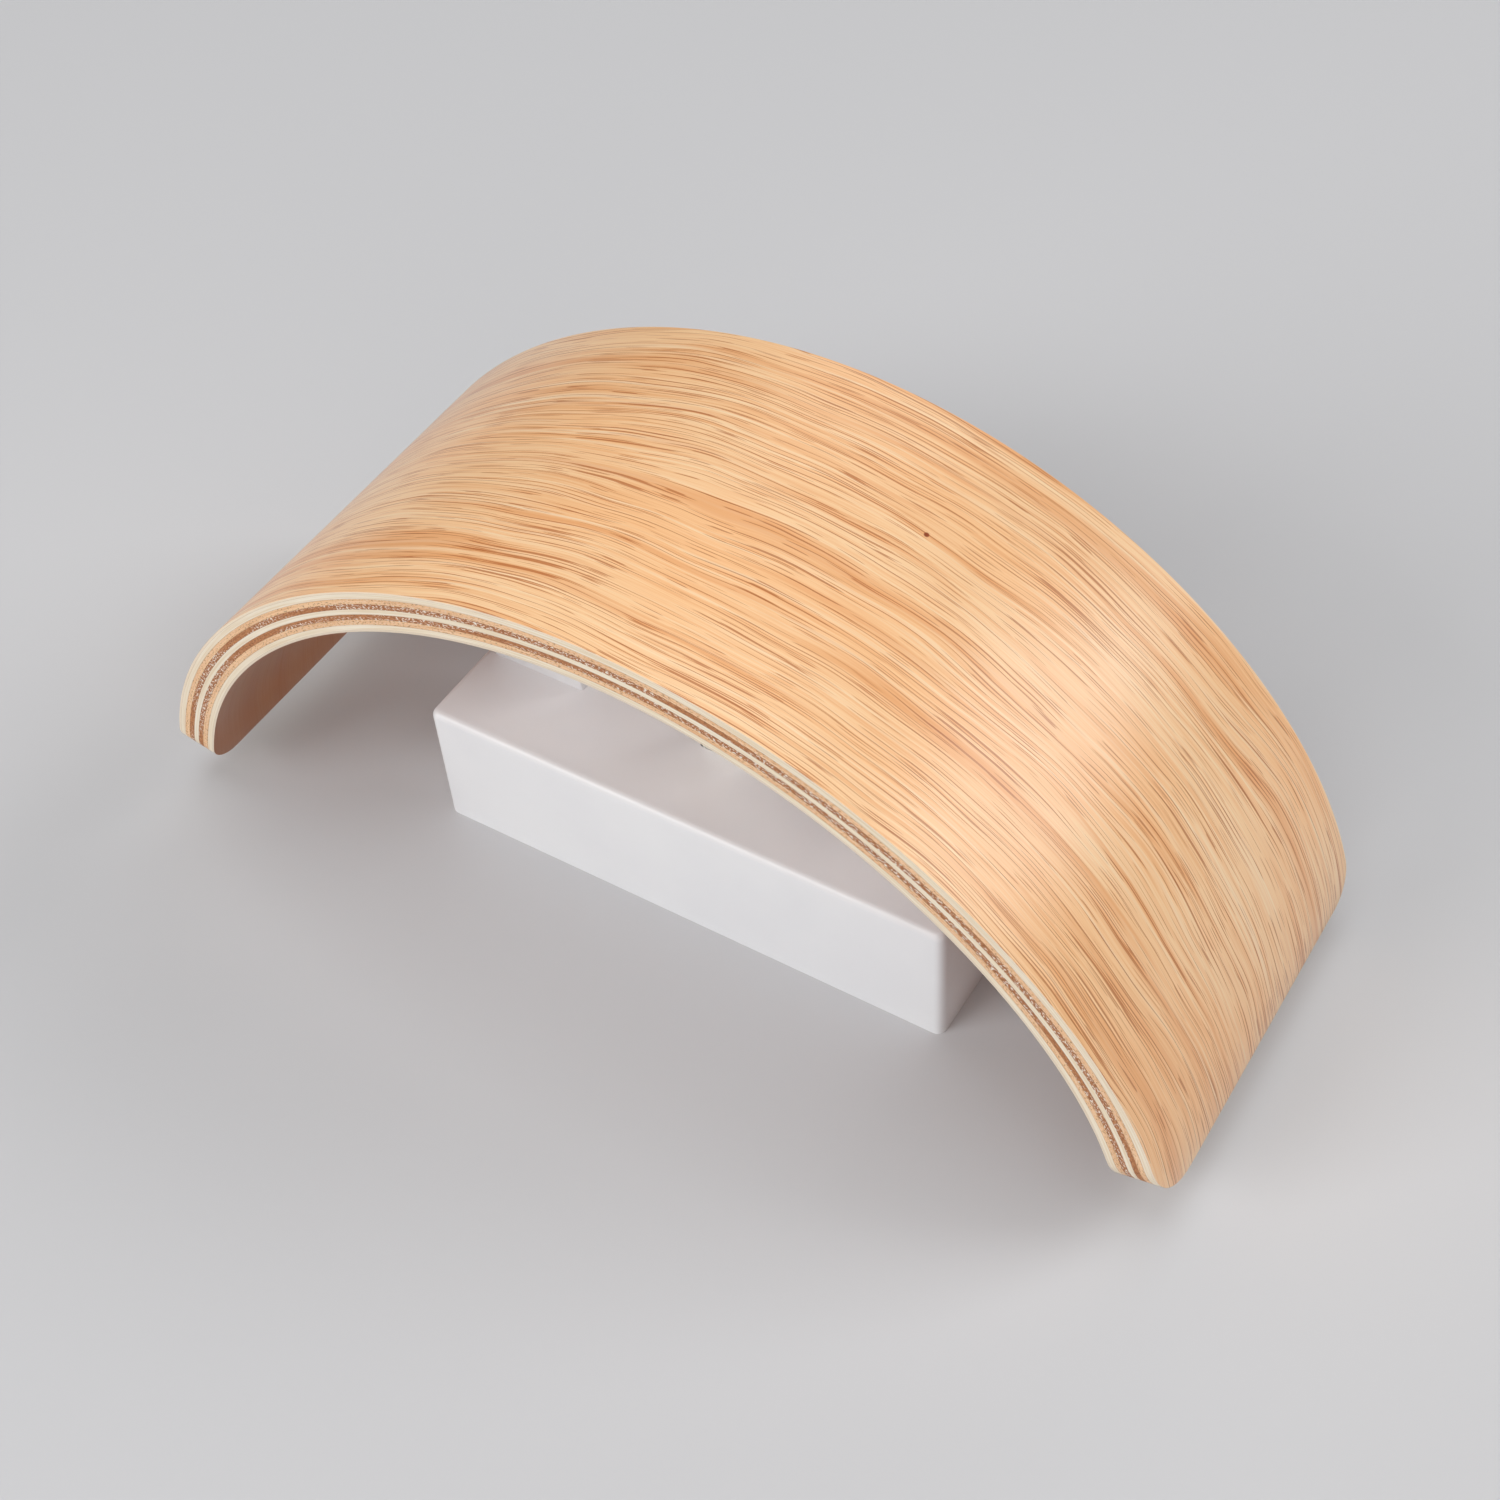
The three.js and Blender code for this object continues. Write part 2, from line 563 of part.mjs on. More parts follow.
const leadEndX = blockEnds[0] + 4;
lead('live_lead', 'brown', [
  [-PIN_X, 0, 34], [-PIN_X, 0, 29], [-1, -3, 22.5], [8, -8, 20.5], [15, -9, 26], [20, -9, 29.8],
  [leadEndX, -9, poleZ],
], 18);
lead('neutral_lead', 'blue', [
  [PIN_X, 0, 34], [PIN_X, 0, 29], [8, 0, 22.5], [14, 0, 23], [19, 0, 29.2], [leadEndX, 0, poleZ],
], 14);
lead('earth_lead', 'green', [
  [EARTH_STUD.x + 8, 12, crimpZ], [EARTH_STUD.x + 12, 12, crimpZ], [-12, 12.5, 33], [-4, 14, 27],
  [8, 13, 23.5], [15, 10, 26],
  [20, 9, 29.8], [leadEndX, 9, poleZ],
], 22);

export default light;
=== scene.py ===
# %% [markdown]
# # A bentwood wall light
# The real light is a white steel box on the wall, two flat uprights, and a strip of
# oak-faced plywood that was bent over a mould while its glue set. The lamp stands between
# the uprights, so the light washes over the wood from inside. The precise model already
# holds every size and joint. This script only gives each piece its finer shape, its edges
# and its finish, in the same frame, and measures as it goes.

# %% Load the frame
import functools
import json
import math

import bmesh
import bpy
from mathutils import Matrix, Vector


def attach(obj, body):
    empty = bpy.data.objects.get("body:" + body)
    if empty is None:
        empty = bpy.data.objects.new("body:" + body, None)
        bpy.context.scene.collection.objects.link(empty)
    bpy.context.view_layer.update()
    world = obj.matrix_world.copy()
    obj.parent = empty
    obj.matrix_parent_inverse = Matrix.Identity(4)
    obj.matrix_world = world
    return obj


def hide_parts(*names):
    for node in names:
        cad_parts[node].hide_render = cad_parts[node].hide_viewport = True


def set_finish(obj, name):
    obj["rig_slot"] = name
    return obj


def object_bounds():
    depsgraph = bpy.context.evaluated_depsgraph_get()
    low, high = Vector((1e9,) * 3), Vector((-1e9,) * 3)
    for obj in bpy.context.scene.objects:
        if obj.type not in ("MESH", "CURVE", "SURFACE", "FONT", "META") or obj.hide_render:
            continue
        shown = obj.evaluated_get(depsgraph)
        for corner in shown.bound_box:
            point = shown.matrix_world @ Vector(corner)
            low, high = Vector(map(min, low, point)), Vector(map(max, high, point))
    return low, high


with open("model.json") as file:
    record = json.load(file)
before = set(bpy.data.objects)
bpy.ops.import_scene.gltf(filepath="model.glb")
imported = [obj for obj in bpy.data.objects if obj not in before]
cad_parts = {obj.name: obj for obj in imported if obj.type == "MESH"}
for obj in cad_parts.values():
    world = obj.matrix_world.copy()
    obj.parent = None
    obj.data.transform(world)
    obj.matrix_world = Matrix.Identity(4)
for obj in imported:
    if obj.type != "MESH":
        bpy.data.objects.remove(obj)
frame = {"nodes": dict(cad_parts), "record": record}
cad_low, cad_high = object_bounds()
print("overall, mm:", [round(1000 * side, 1) for side in cad_high - cad_low])

# %% [markdown]
# Each piece starts as a primitive at its real size and is then worked on in edit mode, as
# by hand. An operator acts on whatever is selected, so these helpers first let go of
# everything, then choose faces or edges by where they are or which way they turn. Sizes
# are written in millimetres, because that is how such parts are drawn.

# %% Helpers for making
MM = 0.001
pieces = []


def deselect():
    if bpy.context.mode != "OBJECT":
        bpy.ops.object.mode_set(mode="OBJECT")
    bpy.ops.object.select_all(action="DESELECT")


def activate(piece):
    deselect()
    piece.select_set(True)
    bpy.context.view_layer.objects.active = piece


def settle(piece, name=None):
    """Put the piece's place, turn and size into its mesh."""
    activate(piece)
    piece.name = piece.data.name = name or piece.name
    bpy.ops.object.transform_apply(location=True, rotation=True, scale=True)
    return piece


def block(name, low, high):
    low, high = Vector(low) * MM, Vector(high) * MM
    deselect()
    bpy.ops.mesh.primitive_cube_add(size=1, location=(low + high) / 2, scale=high - low)
    return settle(bpy.context.object, name)


def rod(name, radius, start, end, sides=48):
    start, end = Vector(start) * MM, Vector(end) * MM
    turn = (end - start).to_track_quat("Z", "Y").to_euler()
    deselect()
    bpy.ops.mesh.primitive_cylinder_add(
        vertices=sides, radius=radius * MM, depth=(end - start).length,
        location=(start + end) / 2, rotation=turn)
    return settle(bpy.context.object, name)


# %% Helpers for choosing and shaping
def pick(piece, kind, test):
    """Go into edit mode with only the vertices, edges or faces that pass the test."""
    if bpy.context.mode != "EDIT_MESH":
        activate(piece)
        bpy.ops.object.mode_set(mode="EDIT")
    bpy.ops.mesh.select_mode(type=kind)
    bpy.ops.mesh.select_all(action="DESELECT")
    mesh = bmesh.from_edit_mesh(piece.data)
    parts = {"VERT": mesh.verts, "EDGE": mesh.edges, "FACE": mesh.faces}[kind]
    chosen = [part for part in parts if test(part)]
    for part in chosen:
        part.select_set(True)
    mesh.select_flush_mode()
    bmesh.update_edit_mesh(piece.data)
    return len(chosen)


def centre(part):
    """The middle of an edge or face, in millimetres."""
    corners = [vertex.co for vertex in part.verts]
    return sum(corners, Vector()) / len(corners) / MM


def along(edge, axis):
    """True for an edge that runs along this axis."""
    run = edge.verts[1].co - edge.verts[0].co
    return abs(run[axis]) > 0.999 * run.length


def sharp(edge, degrees=50):
    return edge.is_manifold and edge.calc_face_angle(0) > math.radians(degrees)


def round_edges(piece, radius, segments=3, test=sharp):
    count = pick(piece, "EDGE", test)
    if count:
        bpy.ops.mesh.bevel(offset=radius * MM, segments=segments, affect="EDGES",
                           clamp_overlap=True)
    bpy.ops.object.mode_set(mode="OBJECT")
    return piece


def slices(piece, places, axis=0):
    """Cut the mesh across at each place, so that it can bend there."""
    normal = [0, 0, 0]
    normal[axis] = 1
    pick(piece, "FACE", lambda face: True)
    for place in places:
        bpy.ops.mesh.select_all(action="SELECT")
        point = [0, 0, 0]
        point[axis] = place * MM
        bpy.ops.mesh.bisect(plane_co=point, plane_no=normal)
    bpy.ops.object.mode_set(mode="OBJECT")
    return piece


def modify(piece, kind, **settings):
    activate(piece)
    modifier = piece.modifiers.new(kind.title(), kind)
    for name, value in settings.items():
        setattr(modifier, name, value)
    bpy.ops.object.modifier_apply(modifier=modifier.name)
    return piece


def cut(piece, *tools, operation="DIFFERENCE"):
    for tool in tools:
        modify(piece, "BOOLEAN", operation=operation, solver="EXACT", object=tool)
        bpy.data.meshes.remove(tool.data)
    return piece


def copy_of(piece, name, matrix):
    """A copy with its own mesh, placed by the matrix, and turned outwards if mirrored."""
    twin = piece.copy()
    twin.data = piece.data.copy()
    bpy.context.scene.collection.objects.link(twin)
    twin.matrix_world = matrix
    settle(twin, name)
    if matrix.determinant() < 0:
        outward(twin)
    return twin


def outward(piece):
    """Merge doubled points, then turn every face outwards."""
    pick(piece, "FACE", lambda face: True)
    bpy.ops.mesh.select_all(action="SELECT")
    bpy.ops.mesh.remove_doubles(threshold=0.002 * MM)
    bpy.ops.mesh.normals_make_consistent(inside=False)
    bpy.ops.object.mode_set(mode="OBJECT")
    return piece


# %% Helpers for round pieces, and for handing a piece over
def turned(name, profile, steps):
    """Draw [radius, height] points beside the Z axis and spin them into a round piece."""
    deselect()
    bpy.ops.mesh.primitive_plane_add(size=0.01 * MM)
    piece = bpy.context.object
    piece.name = piece.data.name = name
    bpy.ops.object.mode_set(mode="EDIT")
    bpy.ops.mesh.select_mode(type="VERT")
    bpy.ops.mesh.select_all(action="SELECT")
    bpy.ops.mesh.merge(type="CENTER")
    here = Vector((0, 0))
    for i, point in enumerate(profile):
        step = (Vector(point) - here) * MM
        move = {"value": (step.x, 0, step.y)}
        if i == 0:
            bpy.ops.transform.translate(**move)
        else:
            bpy.ops.mesh.extrude_region_move(TRANSFORM_OT_translate=move)
        here = Vector(point)
    bpy.ops.mesh.select_all(action="SELECT")
    bpy.ops.mesh.spin(steps=steps, angle=2 * math.pi, center=(0, 0, 0), axis=(0, 0, 1))
    return outward(piece)


def tube(name, points, radius):
    """A round wire along a smooth curve through these points."""
    deselect()
    bpy.ops.curve.primitive_bezier_curve_add()
    wire = bpy.context.object
    wire.data.bevel_depth = radius * MM
    wire.data.bevel_resolution = 4
    wire.data.resolution_u = 10
    wire.data.use_fill_caps = True
    spline = wire.data.splines[0]
    spline.bezier_points.add(len(points) - len(spline.bezier_points))
    for knot, point in zip(spline.bezier_points, points):
        knot.co = Vector(point) * MM
        knot.handle_left_type = knot.handle_right_type = "AUTO"
    bpy.ops.object.convert(target="MESH")
    return outward(settle(bpy.context.object, name))


def hand_over(piece, body, slot, *nodes, angle=32):
    """Smooth the round faces, and say what the piece rides on and stands for."""
    activate(piece)
    bpy.ops.object.shade_smooth_by_angle(angle=math.radians(angle))
    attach(piece, body)
    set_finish(piece, slot)
    if nodes:
        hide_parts(*nodes)
    pieces.append(piece)
    size = [round(1000 * side, 1) for side in piece.dimensions]
    print(f"{piece.name}: {size} mm, {len(piece.data.polygons)} faces")
    return piece


# %% [markdown]
# ## The mould
# Moulded plywood is laid up flat and then pressed over a form. The same is done here. A
# board is modelled flat, with X as the distance from the crown along its outer face and Z
# as the depth below that face, and then every point is laid on the curve. The curve's
# tightness changes along it, gentle at the crown and tighter at the ends, and its slope
# has a simple formula, so the bend is worked out in Python instead of by a lattice that
# would stretch the wood.

# %% The curve of the arch
SHADE_TOP = 1000 * cad_high.z
SHADE_WIDTH = 1000 * (cad_high.y - cad_low.y)
HALF_LENGTH = 196.9
CORNER = 9
WORN_CORNER = 15
CURVATURE = (0.00667, -0.00314, 0.00749)
VENEER, PLY = 0.6, 1.5
THICKNESS = 2 * VENEER + 7 * PLY
GAP = 0.3
BORE_3, BORE_4 = 1.8, 2.3  # radius of a clear hole for a 3 mm and a 4 mm screw


def slope_at(s):
    u = s / HALF_LENGTH
    flat, square, fourth = CURVATURE
    return HALF_LENGTH * (flat * u + square * u**3 / 3 + fourth * u**5 / 5)


@functools.lru_cache(maxsize=None)
def crown_to(s):
    """How far along, and how far down, the outer face goes from the crown to s."""
    steps = 80
    slopes = [slope_at((i + 0.5) * s / steps) for i in range(steps)]
    return sum(map(math.cos, slopes)) * s / steps, sum(map(math.sin, slopes)) * s / steps


def on_arch(s, depth=0.0):
    across, drop = crown_to(round(s, 4))
    slope = slope_at(s)
    return across - depth * math.sin(slope), SHADE_TOP - drop - depth * math.cos(slope)


def distance_over(x, depth):
    """The distance along the arch at which the face at this depth stands over x."""
    low, high = -HALF_LENGTH, HALF_LENGTH
    while high - low > 1e-4:
        middle = (low + high) / 2
        low, high = (middle, high) if on_arch(middle, depth)[0] < x else (low, middle)
    return (low + high) / 2


def press(board):
    """Lay a flat board on the mould, and keep where each point was and how much each face
    looks sideways before, for the grain and for the sawn edge."""
    notes = board.data.attributes
    notes.new("flat", "FLOAT_VECTOR", "POINT")
    notes.new("side", "FLOAT", "FACE")
    for face, sideways in zip(board.data.polygons, notes["side"].data):
        sideways.value = 1 - abs(face.normal.z)
    for vertex, before in zip(board.data.vertices, notes["flat"].data):
        s, y, depth = vertex.co.x / MM, vertex.co.y, -vertex.co.z / MM
        before.vector = (vertex.co.x, y, depth * MM)
        x, z = on_arch(s, depth)
        vertex.co = (x * MM, y, z * MM)
    return outward(board)


def place_on_arch(s, depth, y=0.0):
    """The place and turn of something that stands on the arch at this depth."""
    x, z = on_arch(s, depth)
    return Matrix.Translation(Vector((x, y, z)) * MM) @ Matrix.Rotation(slope_at(s), 4, "Y")


end = on_arch(HALF_LENGTH)
print("arch end, mm:", [round(v, 1) for v in end],
      "slope", round(math.degrees(slope_at(HALF_LENGTH)), 1))

# %% [markdown]
# ## The shade
# Nine sheets make the board: an oak veneer on each face and seven plies between, pale and
# dark in turn. One outline is cut first, with its corners rounded, one of them sanded
# rounder than the rest, and every sheet is a copy of it, given its own thickness. The
# veneers carry the sanded edge of the real board, which is about half a millimetre round,
# and the plies stay flush between them. The lower sheets are drilled for the wood screws
# before they are bent.

# %% The flat outline
deselect()
bpy.ops.mesh.primitive_plane_add(size=1)
bpy.context.object.scale = (2 * HALF_LENGTH * MM, SHADE_WIDTH * MM, 1)
outline = settle(bpy.context.object, "outline")
pick(outline, "VERT", lambda vertex: vertex.co.x > 0 > vertex.co.y)
bpy.ops.mesh.bevel(offset=WORN_CORNER * MM, segments=10, affect="VERTICES")
square = (HALF_LENGTH + SHADE_WIDTH / 2 - 1) * MM
pick(outline, "VERT", lambda vertex: abs(vertex.co.x) + abs(vertex.co.y) > square)
bpy.ops.mesh.bevel(offset=CORNER * MM, segments=10, affect="VERTICES")
corner_cuts = [HALF_LENGTH - CORNER * (1 - math.sin(math.pi / 2 * i / 10)) for i in range(10)]
long_cuts = [corner_cuts[0] * i / 75 for i in range(75)]
stations = sorted({round(side * cut_at, 5) for cut_at in long_cuts + corner_cuts
                   for side in (-1, 1)})
slices(outline, stations)
print("outline:", len(outline.data.vertices), "points,", len(stations), "cuts")

# %% The nine sheets
SADDLE_DEPTH = THICKNESS + GAP
SADDLE_THICKNESS = 2
SADDLE_X = 58
SCREW_ROW = 8.5
SCREW_PLIES = 4  # how many plies the wood screws bite into
saddle_s = distance_over(SADDLE_X, SADDLE_DEPTH)
screw_places = [(side * saddle_s, row * SCREW_ROW) for side in (-1, 1) for row in (-1, 1)]


def sheet(name, top, thickness, drilled):
    board = copy_of(outline, name, Matrix.Translation((0, 0, -top * MM)))
    pick(board, "FACE", lambda face: True)
    bpy.ops.mesh.extrude_region_move(TRANSFORM_OT_translate={"value": (0, 0, -thickness * MM)})
    outward(board)
    if drilled:
        cut(board, *[rod("drill", BORE_3, (s, y, -20), (s, y, 5), 24) for s, y in screw_places])
    return board


def on_rim(edge, face_z):
    """True for a sharp edge of the outline on this face, but not of a screw hole."""
    place = centre(edge)
    outlying = abs(place.y) > 40 or abs(place.x) > 180
    return sharp(edge) and abs(place.z - face_z) < 0.01 and outlying


half = ["birch_ply", "poplar_ply", "dark_ply"]
plies = [*half, "birch_ply", *reversed(half)]
sheets = [("shade_outer_veneer", "outer_oak_veneer", "oak_face", VENEER)]
sheets += [(f"shade_ply_{i + 1}", f"core_ply_{i + 1}", slot, PLY) for i, slot in enumerate(plies)]
sheets += [("shade_inner_veneer", "inner_oak_veneer", "oak_face", VENEER)]
depth = 0.0
for name, node, slot, thickness in sheets:
    board = sheet(name, depth, thickness,
                  drilled=depth > THICKNESS - VENEER - SCREW_PLIES * PLY - 0.01)
    if slot == "oak_face":
        face_z = 0.0 if depth == 0 else -THICKNESS
        round_edges(board, 0.5, 4, lambda edge: on_rim(edge, face_z))
    hand_over(press(board), "light_body", slot, node)
    depth += thickness
bpy.data.meshes.remove(outline.data)

# %% [markdown]
# ## The box
# The box is folded from sheet steel, welded and powder coated, so its outside edges are
# rounded by about two millimetres and it is open towards the wall. A cube is given its
# upright edges first and its top edges after, so that the corners blend. Then the wall
# side is inset by the sheet's thickness and pushed in, which hollows it in one move.

# %% The white box
BOX_END, BOX_SIDE, BOX_TOP, BOX_WALL = 75.05, 28.2, 39, 1.5
CEILING = BOX_TOP - BOX_WALL
box_shell = block("box_shell", (-BOX_END, -BOX_SIDE, 0), (BOX_END, BOX_SIDE, BOX_TOP))
round_edges(box_shell, 2.5, 6, lambda edge: along(edge, 2))
round_edges(box_shell, 2.0, 6, lambda edge: sharp(edge) and centre(edge).z > BOX_TOP - 0.01)
pick(box_shell, "FACE", lambda face: face.normal.z < -0.9)
bpy.ops.mesh.inset(thickness=BOX_WALL * MM)
bpy.ops.mesh.extrude_region_move(TRANSFORM_OT_translate={"value": (0, 0, CEILING * MM)})
bpy.ops.object.mode_set(mode="OBJECT")

FOOT_X = (51, 65)
HOLDER_SCREW_X = 12.5
LOCK_Z = 5.5
opening = block("opening", (-7.8, -4.3, CEILING - 3), (7.8, 4.3, BOX_TOP + 3))
round_edges(opening, 1.5, 4, lambda edge: along(edge, 2))
drills = [opening]
for side in (-1, 1):
    for x in FOOT_X:
        drills.append(rod("drill", BORE_4, (side * x, 0, CEILING - 2), (side * x, 0, BOX_TOP + 2), 32))
    x = side * HOLDER_SCREW_X
    drills.append(rod("drill", BORE_3, (x, 0, CEILING - 2), (x, 0, BOX_TOP + 2), 32))
    drills.append(rod("drill", BORE_4, (side * 70, 0, LOCK_Z), (side * 80, 0, LOCK_Z), 32))
cut(box_shell, *drills)
hand_over(box_shell, "light_body", "white_paint", "box_cover")

# %% [markdown]
# ## Uprights and saddles
# Two flat bars stand on the box and end in curved steel saddles that are screwed to the
# wood. A bar is a cube cut into thin slices, whose top points are then lifted on to the
# mould. A saddle is a flat plate, drilled and countersunk while it is flat, and pressed on
# the mould like the plywood. The right-hand piece is modelled and the left is its mirror.

# %% Uprights
UPRIGHT_IN, UPRIGHT_OUT, UPRIGHT_HALF = 44, 72, 3
UPRIGHT_DEPTH = SADDLE_DEPTH + SADDLE_THICKNESS + GAP
mirror = Matrix.Scale(-1, 4, (1, 0, 0))


def countersink_at(matrix, depth_to_go):
    tool = turned("countersink", [(0, -20), (BORE_3, -20), (BORE_3, -1.6), (3.5, 0),
                                  (3.5, depth_to_go), (0, depth_to_go)], 32)
    tool.matrix_world = matrix
    return settle(tool)


upright = block("upright_right", (UPRIGHT_IN, -UPRIGHT_HALF, BOX_TOP),
                (UPRIGHT_OUT, UPRIGHT_HALF, 100))
slices(upright, [UPRIGHT_IN + 2 * i for i in range(1, 14)])
for vertex in upright.data.vertices:
    if vertex.co.z > (BOX_TOP + 1) * MM:
        x = vertex.co.x / MM
        vertex.co.z = on_arch(distance_over(x, UPRIGHT_DEPTH), UPRIGHT_DEPTH)[1] * MM
round_edges(upright, 0.8, 4, lambda edge: sharp(edge) and centre(edge).z > BOX_TOP + 0.1)
cut(upright, countersink_at(place_on_arch(saddle_s, SADDLE_DEPTH), 4))
cut(upright, *[rod("drill", BORE_4, (x, 0, BOX_TOP - 3), (x, 0, BOX_TOP + 9), 32) for x in FOOT_X])
upright_left = copy_of(upright, "upright_left", mirror)
hand_over(upright, "light_body", "white_paint", "right_upright")
hand_over(upright_left, "light_body", "white_paint", "left_upright")

# %% Saddles
reach = [distance_over(x, SADDLE_DEPTH) for x in (UPRIGHT_IN, UPRIGHT_OUT)]
saddle = block("saddle_right", (reach[0], -13, -SADDLE_DEPTH - SADDLE_THICKNESS),
               (reach[1], 13, -SADDLE_DEPTH))
round_edges(saddle, 2.5, 5, lambda edge: along(edge, 2))
slices(saddle, [reach[0] + (reach[1] - reach[0]) * i / 14 for i in range(1, 14)])
cut(saddle, countersink_at(Matrix.Translation((saddle_s * MM, 0, -SADDLE_DEPTH * MM)), 4))
cut(saddle, *[rod("drill", BORE_3, (saddle_s, y, -20), (saddle_s, y, 0), 32)
              for y in (-SCREW_ROW, SCREW_ROW)])
press(saddle)
saddle_left = copy_of(saddle, "saddle_left", mirror)
hand_over(saddle, "light_body", "zinc_plate", "right_saddle")
hand_over(saddle_left, "light_body", "zinc_plate", "left_saddle")

# %% [markdown]
# ## Screws and nuts
# Every screw is one turned shape: a domed head over a shank whose thread is drawn as a row
# of small ridges, which at this size looks the same as a spiral and has far fewer faces.
# The driver's cross or slot is cut from the head. One screw of each size is made, and the
# others are copies with their own mesh.

# %% The shape of a screw
def ridges(thread, length, pitch):
    """Profile points of the threaded shank, from its tip up to the head."""
    points = [(0, -length), (thread - 0.4, -length)]
    height = 0.5 - length
    while height < -0.6 - pitch:
        points += [(thread, height), (thread - 0.3 * pitch, height + pitch / 2)]
        height += pitch
    return points + [(thread - 0.1, -0.5), (thread - 0.1, 0)]


def dome(radius, low, high, steps=7):
    """Points of a rounded top, from its rim to its middle."""
    angles = [math.pi / 2 * i / steps for i in range(steps + 1)]
    return [(radius * math.cos(a) if i < steps else 0, low + (high - low) * math.sin(a))
            for i, a in enumerate(angles)]


def pan_screw(name, thread, length, pitch, slotted=False):
    head, height = 2 * thread, 1.2 * thread
    profile = ridges(thread, length, pitch) + [(head - 0.15, 0), (head, 0.15)]
    screw = turned(name, profile + dome(head, 0.35 * height, height), 40)
    if slotted:
        return cut(screw, block("driver", (-0.6, -6, 1.4), (0.6, 6, 4)))
    arm, deep = 1.15 * thread, height - 0.75 * thread
    cut(screw, block("driver", (-arm, -0.2 * thread, deep), (arm, 0.2 * thread, 4)))
    return cut(screw, block("driver", (-0.2 * thread, -arm, deep), (0.2 * thread, arm, 4)))


# %% Screws of the shade and the uprights
flip = Matrix.Rotation(math.pi, 4, "X")


def at(x, y, z, turn=Matrix.Identity(4)):
    return Matrix.Translation(Vector((x, y, z)) * MM) @ turn


wood_reach = SADDLE_THICKNESS + GAP + VENEER + SCREW_PLIES * PLY
wood_screw = pan_screw("wood_screw", 1.5, wood_reach, 1.1)
for i, (s, y) in enumerate(screw_places, 1):
    twin = copy_of(wood_screw, f"wood_screw_{i}", place_on_arch(s, UPRIGHT_DEPTH, y) @ flip)
    hand_over(twin, "light_body", "zinc_plate", f"shade_screw_{i}")

foot_screw = pan_screw("foot_screw", 2, BOX_WALL + 8, 0.7)
for side_name, side in (("left", -1), ("right", 1)):
    for i, x in enumerate(FOOT_X, 1):
        twin = copy_of(foot_screw, f"foot_screw_{side_name}_{i}", at(side * x, 0, CEILING, flip))
        hand_over(twin, "light_body", "zinc_plate", f"{side_name}_foot_screw_{i}")

# %% Screws of the holder, the terminal block, the saddles and the bracket
BLOCK_SCREW_X, BLOCK_SCREW_Y, BLOCK_BASE = 30, 4.5, 24
holder_screw = pan_screw("holder_screw", 1.5, 9.5, 0.5)
block_screw = pan_screw("block_screw", 1.2, CEILING - GAP - BLOCK_BASE, 0.8)
sunk_head = [(1.45, -1.7), (2.9, -0.25), (2.9, -0.05), (2.8, 0), (0, 0)]
sunk_profile = ridges(1.5, 12, 0.5)[:-2] + sunk_head
sunk_screw = turned("sunk_screw", sunk_profile, 40)
for driver in ((-1.6, -0.3), (-0.3, -1.6)):
    cut(sunk_screw, block("driver", (*driver, -1.2), (-driver[0], -driver[1], 2)))
lock_screw = pan_screw("lock_screw", 2, BOX_END - 64.5, 0.7, slotted=True)
twin = copy_of(block_screw, "block_fixing", at(BLOCK_SCREW_X, BLOCK_SCREW_Y, BLOCK_BASE, flip))
hand_over(twin, "light_body", "zinc_plate", "terminal_block_screw")
for side_name, side in (("left", -1), ("right", 1)):
    twin = copy_of(holder_screw, f"holder_screw_{side_name}", at(side * HOLDER_SCREW_X, 0, BOX_TOP))
    hand_over(twin, "light_body", "zinc_plate", f"{side_name}_holder_screw")
    twin = copy_of(sunk_screw, f"sunk_screw_{side_name}", place_on_arch(side * saddle_s, SADDLE_DEPTH))
    hand_over(twin, "light_body", "zinc_plate", f"{side_name}_saddle_screw")
    turn = Matrix.Rotation(side * math.pi / 2, 4, "Y")
    twin = copy_of(lock_screw, f"lock_screw_{side_name}", at(side * (BOX_END + GAP / 2), 0, LOCK_Z, turn))
    hand_over(twin, f"{side_name}_screw", "white_paint", f"{side_name}_locking_screw")
for tool in (wood_screw, foot_screw, holder_screw, block_screw, sunk_screw, lock_screw):
    bpy.data.meshes.remove(tool.data)

# %% Nuts
def hexagon_nut(name, across, thread, low, high):
    body = rod(name, across / math.sqrt(3), (0, 0, low), (0, 0, high), 6)
    round_edges(body, 0.25, 2)
    return cut(body, rod("bore", thread + GAP, (0, 0, low - 2), (0, 0, high + 2), 32))


holder_nut = hexagon_nut("holder_nut", 5.5, 1.5, 31.6, 34)
square_nut = block("square_nut", (-3.5, -3.5, 0), (3.5, 3.5, 3.2))
round_edges(square_nut, 0.3, 2)
cut(square_nut, rod("bore", BORE_4, (0, 0, -2), (0, 0, 6), 32))
for side_name, side in (("left", -1), ("right", 1)):
    twin = copy_of(holder_nut, f"holder_nut_{side_name}", at(side * HOLDER_SCREW_X, 0, 0))
    hand_over(twin, "light_body", "zinc_plate", f"{side_name}_holder_nut")
    turn = Matrix.Rotation(side * math.pi / 2, 4, "Y")
    twin = copy_of(square_nut, f"square_nut_{side_name}", at(side * 68.2, 0, LOCK_Z, turn))
    hand_over(twin, f"{side_name}_nut", "zinc_plate", f"{side_name}_locking_nut")
bpy.data.meshes.remove(holder_nut.data)
bpy.data.meshes.remove(square_nut.data)

# %% [markdown]
# ## The wall bracket
# A bracket like this is stamped from one strip of steel and its ends are folded up. The
# strip is a block cut across near its ends, and the narrow faces that this leaves are
# pulled up into ears. The inside of each fold gets a small radius, because sheet steel
# cannot fold to a knife edge. The slots, the cable hole and the notches are cut last.

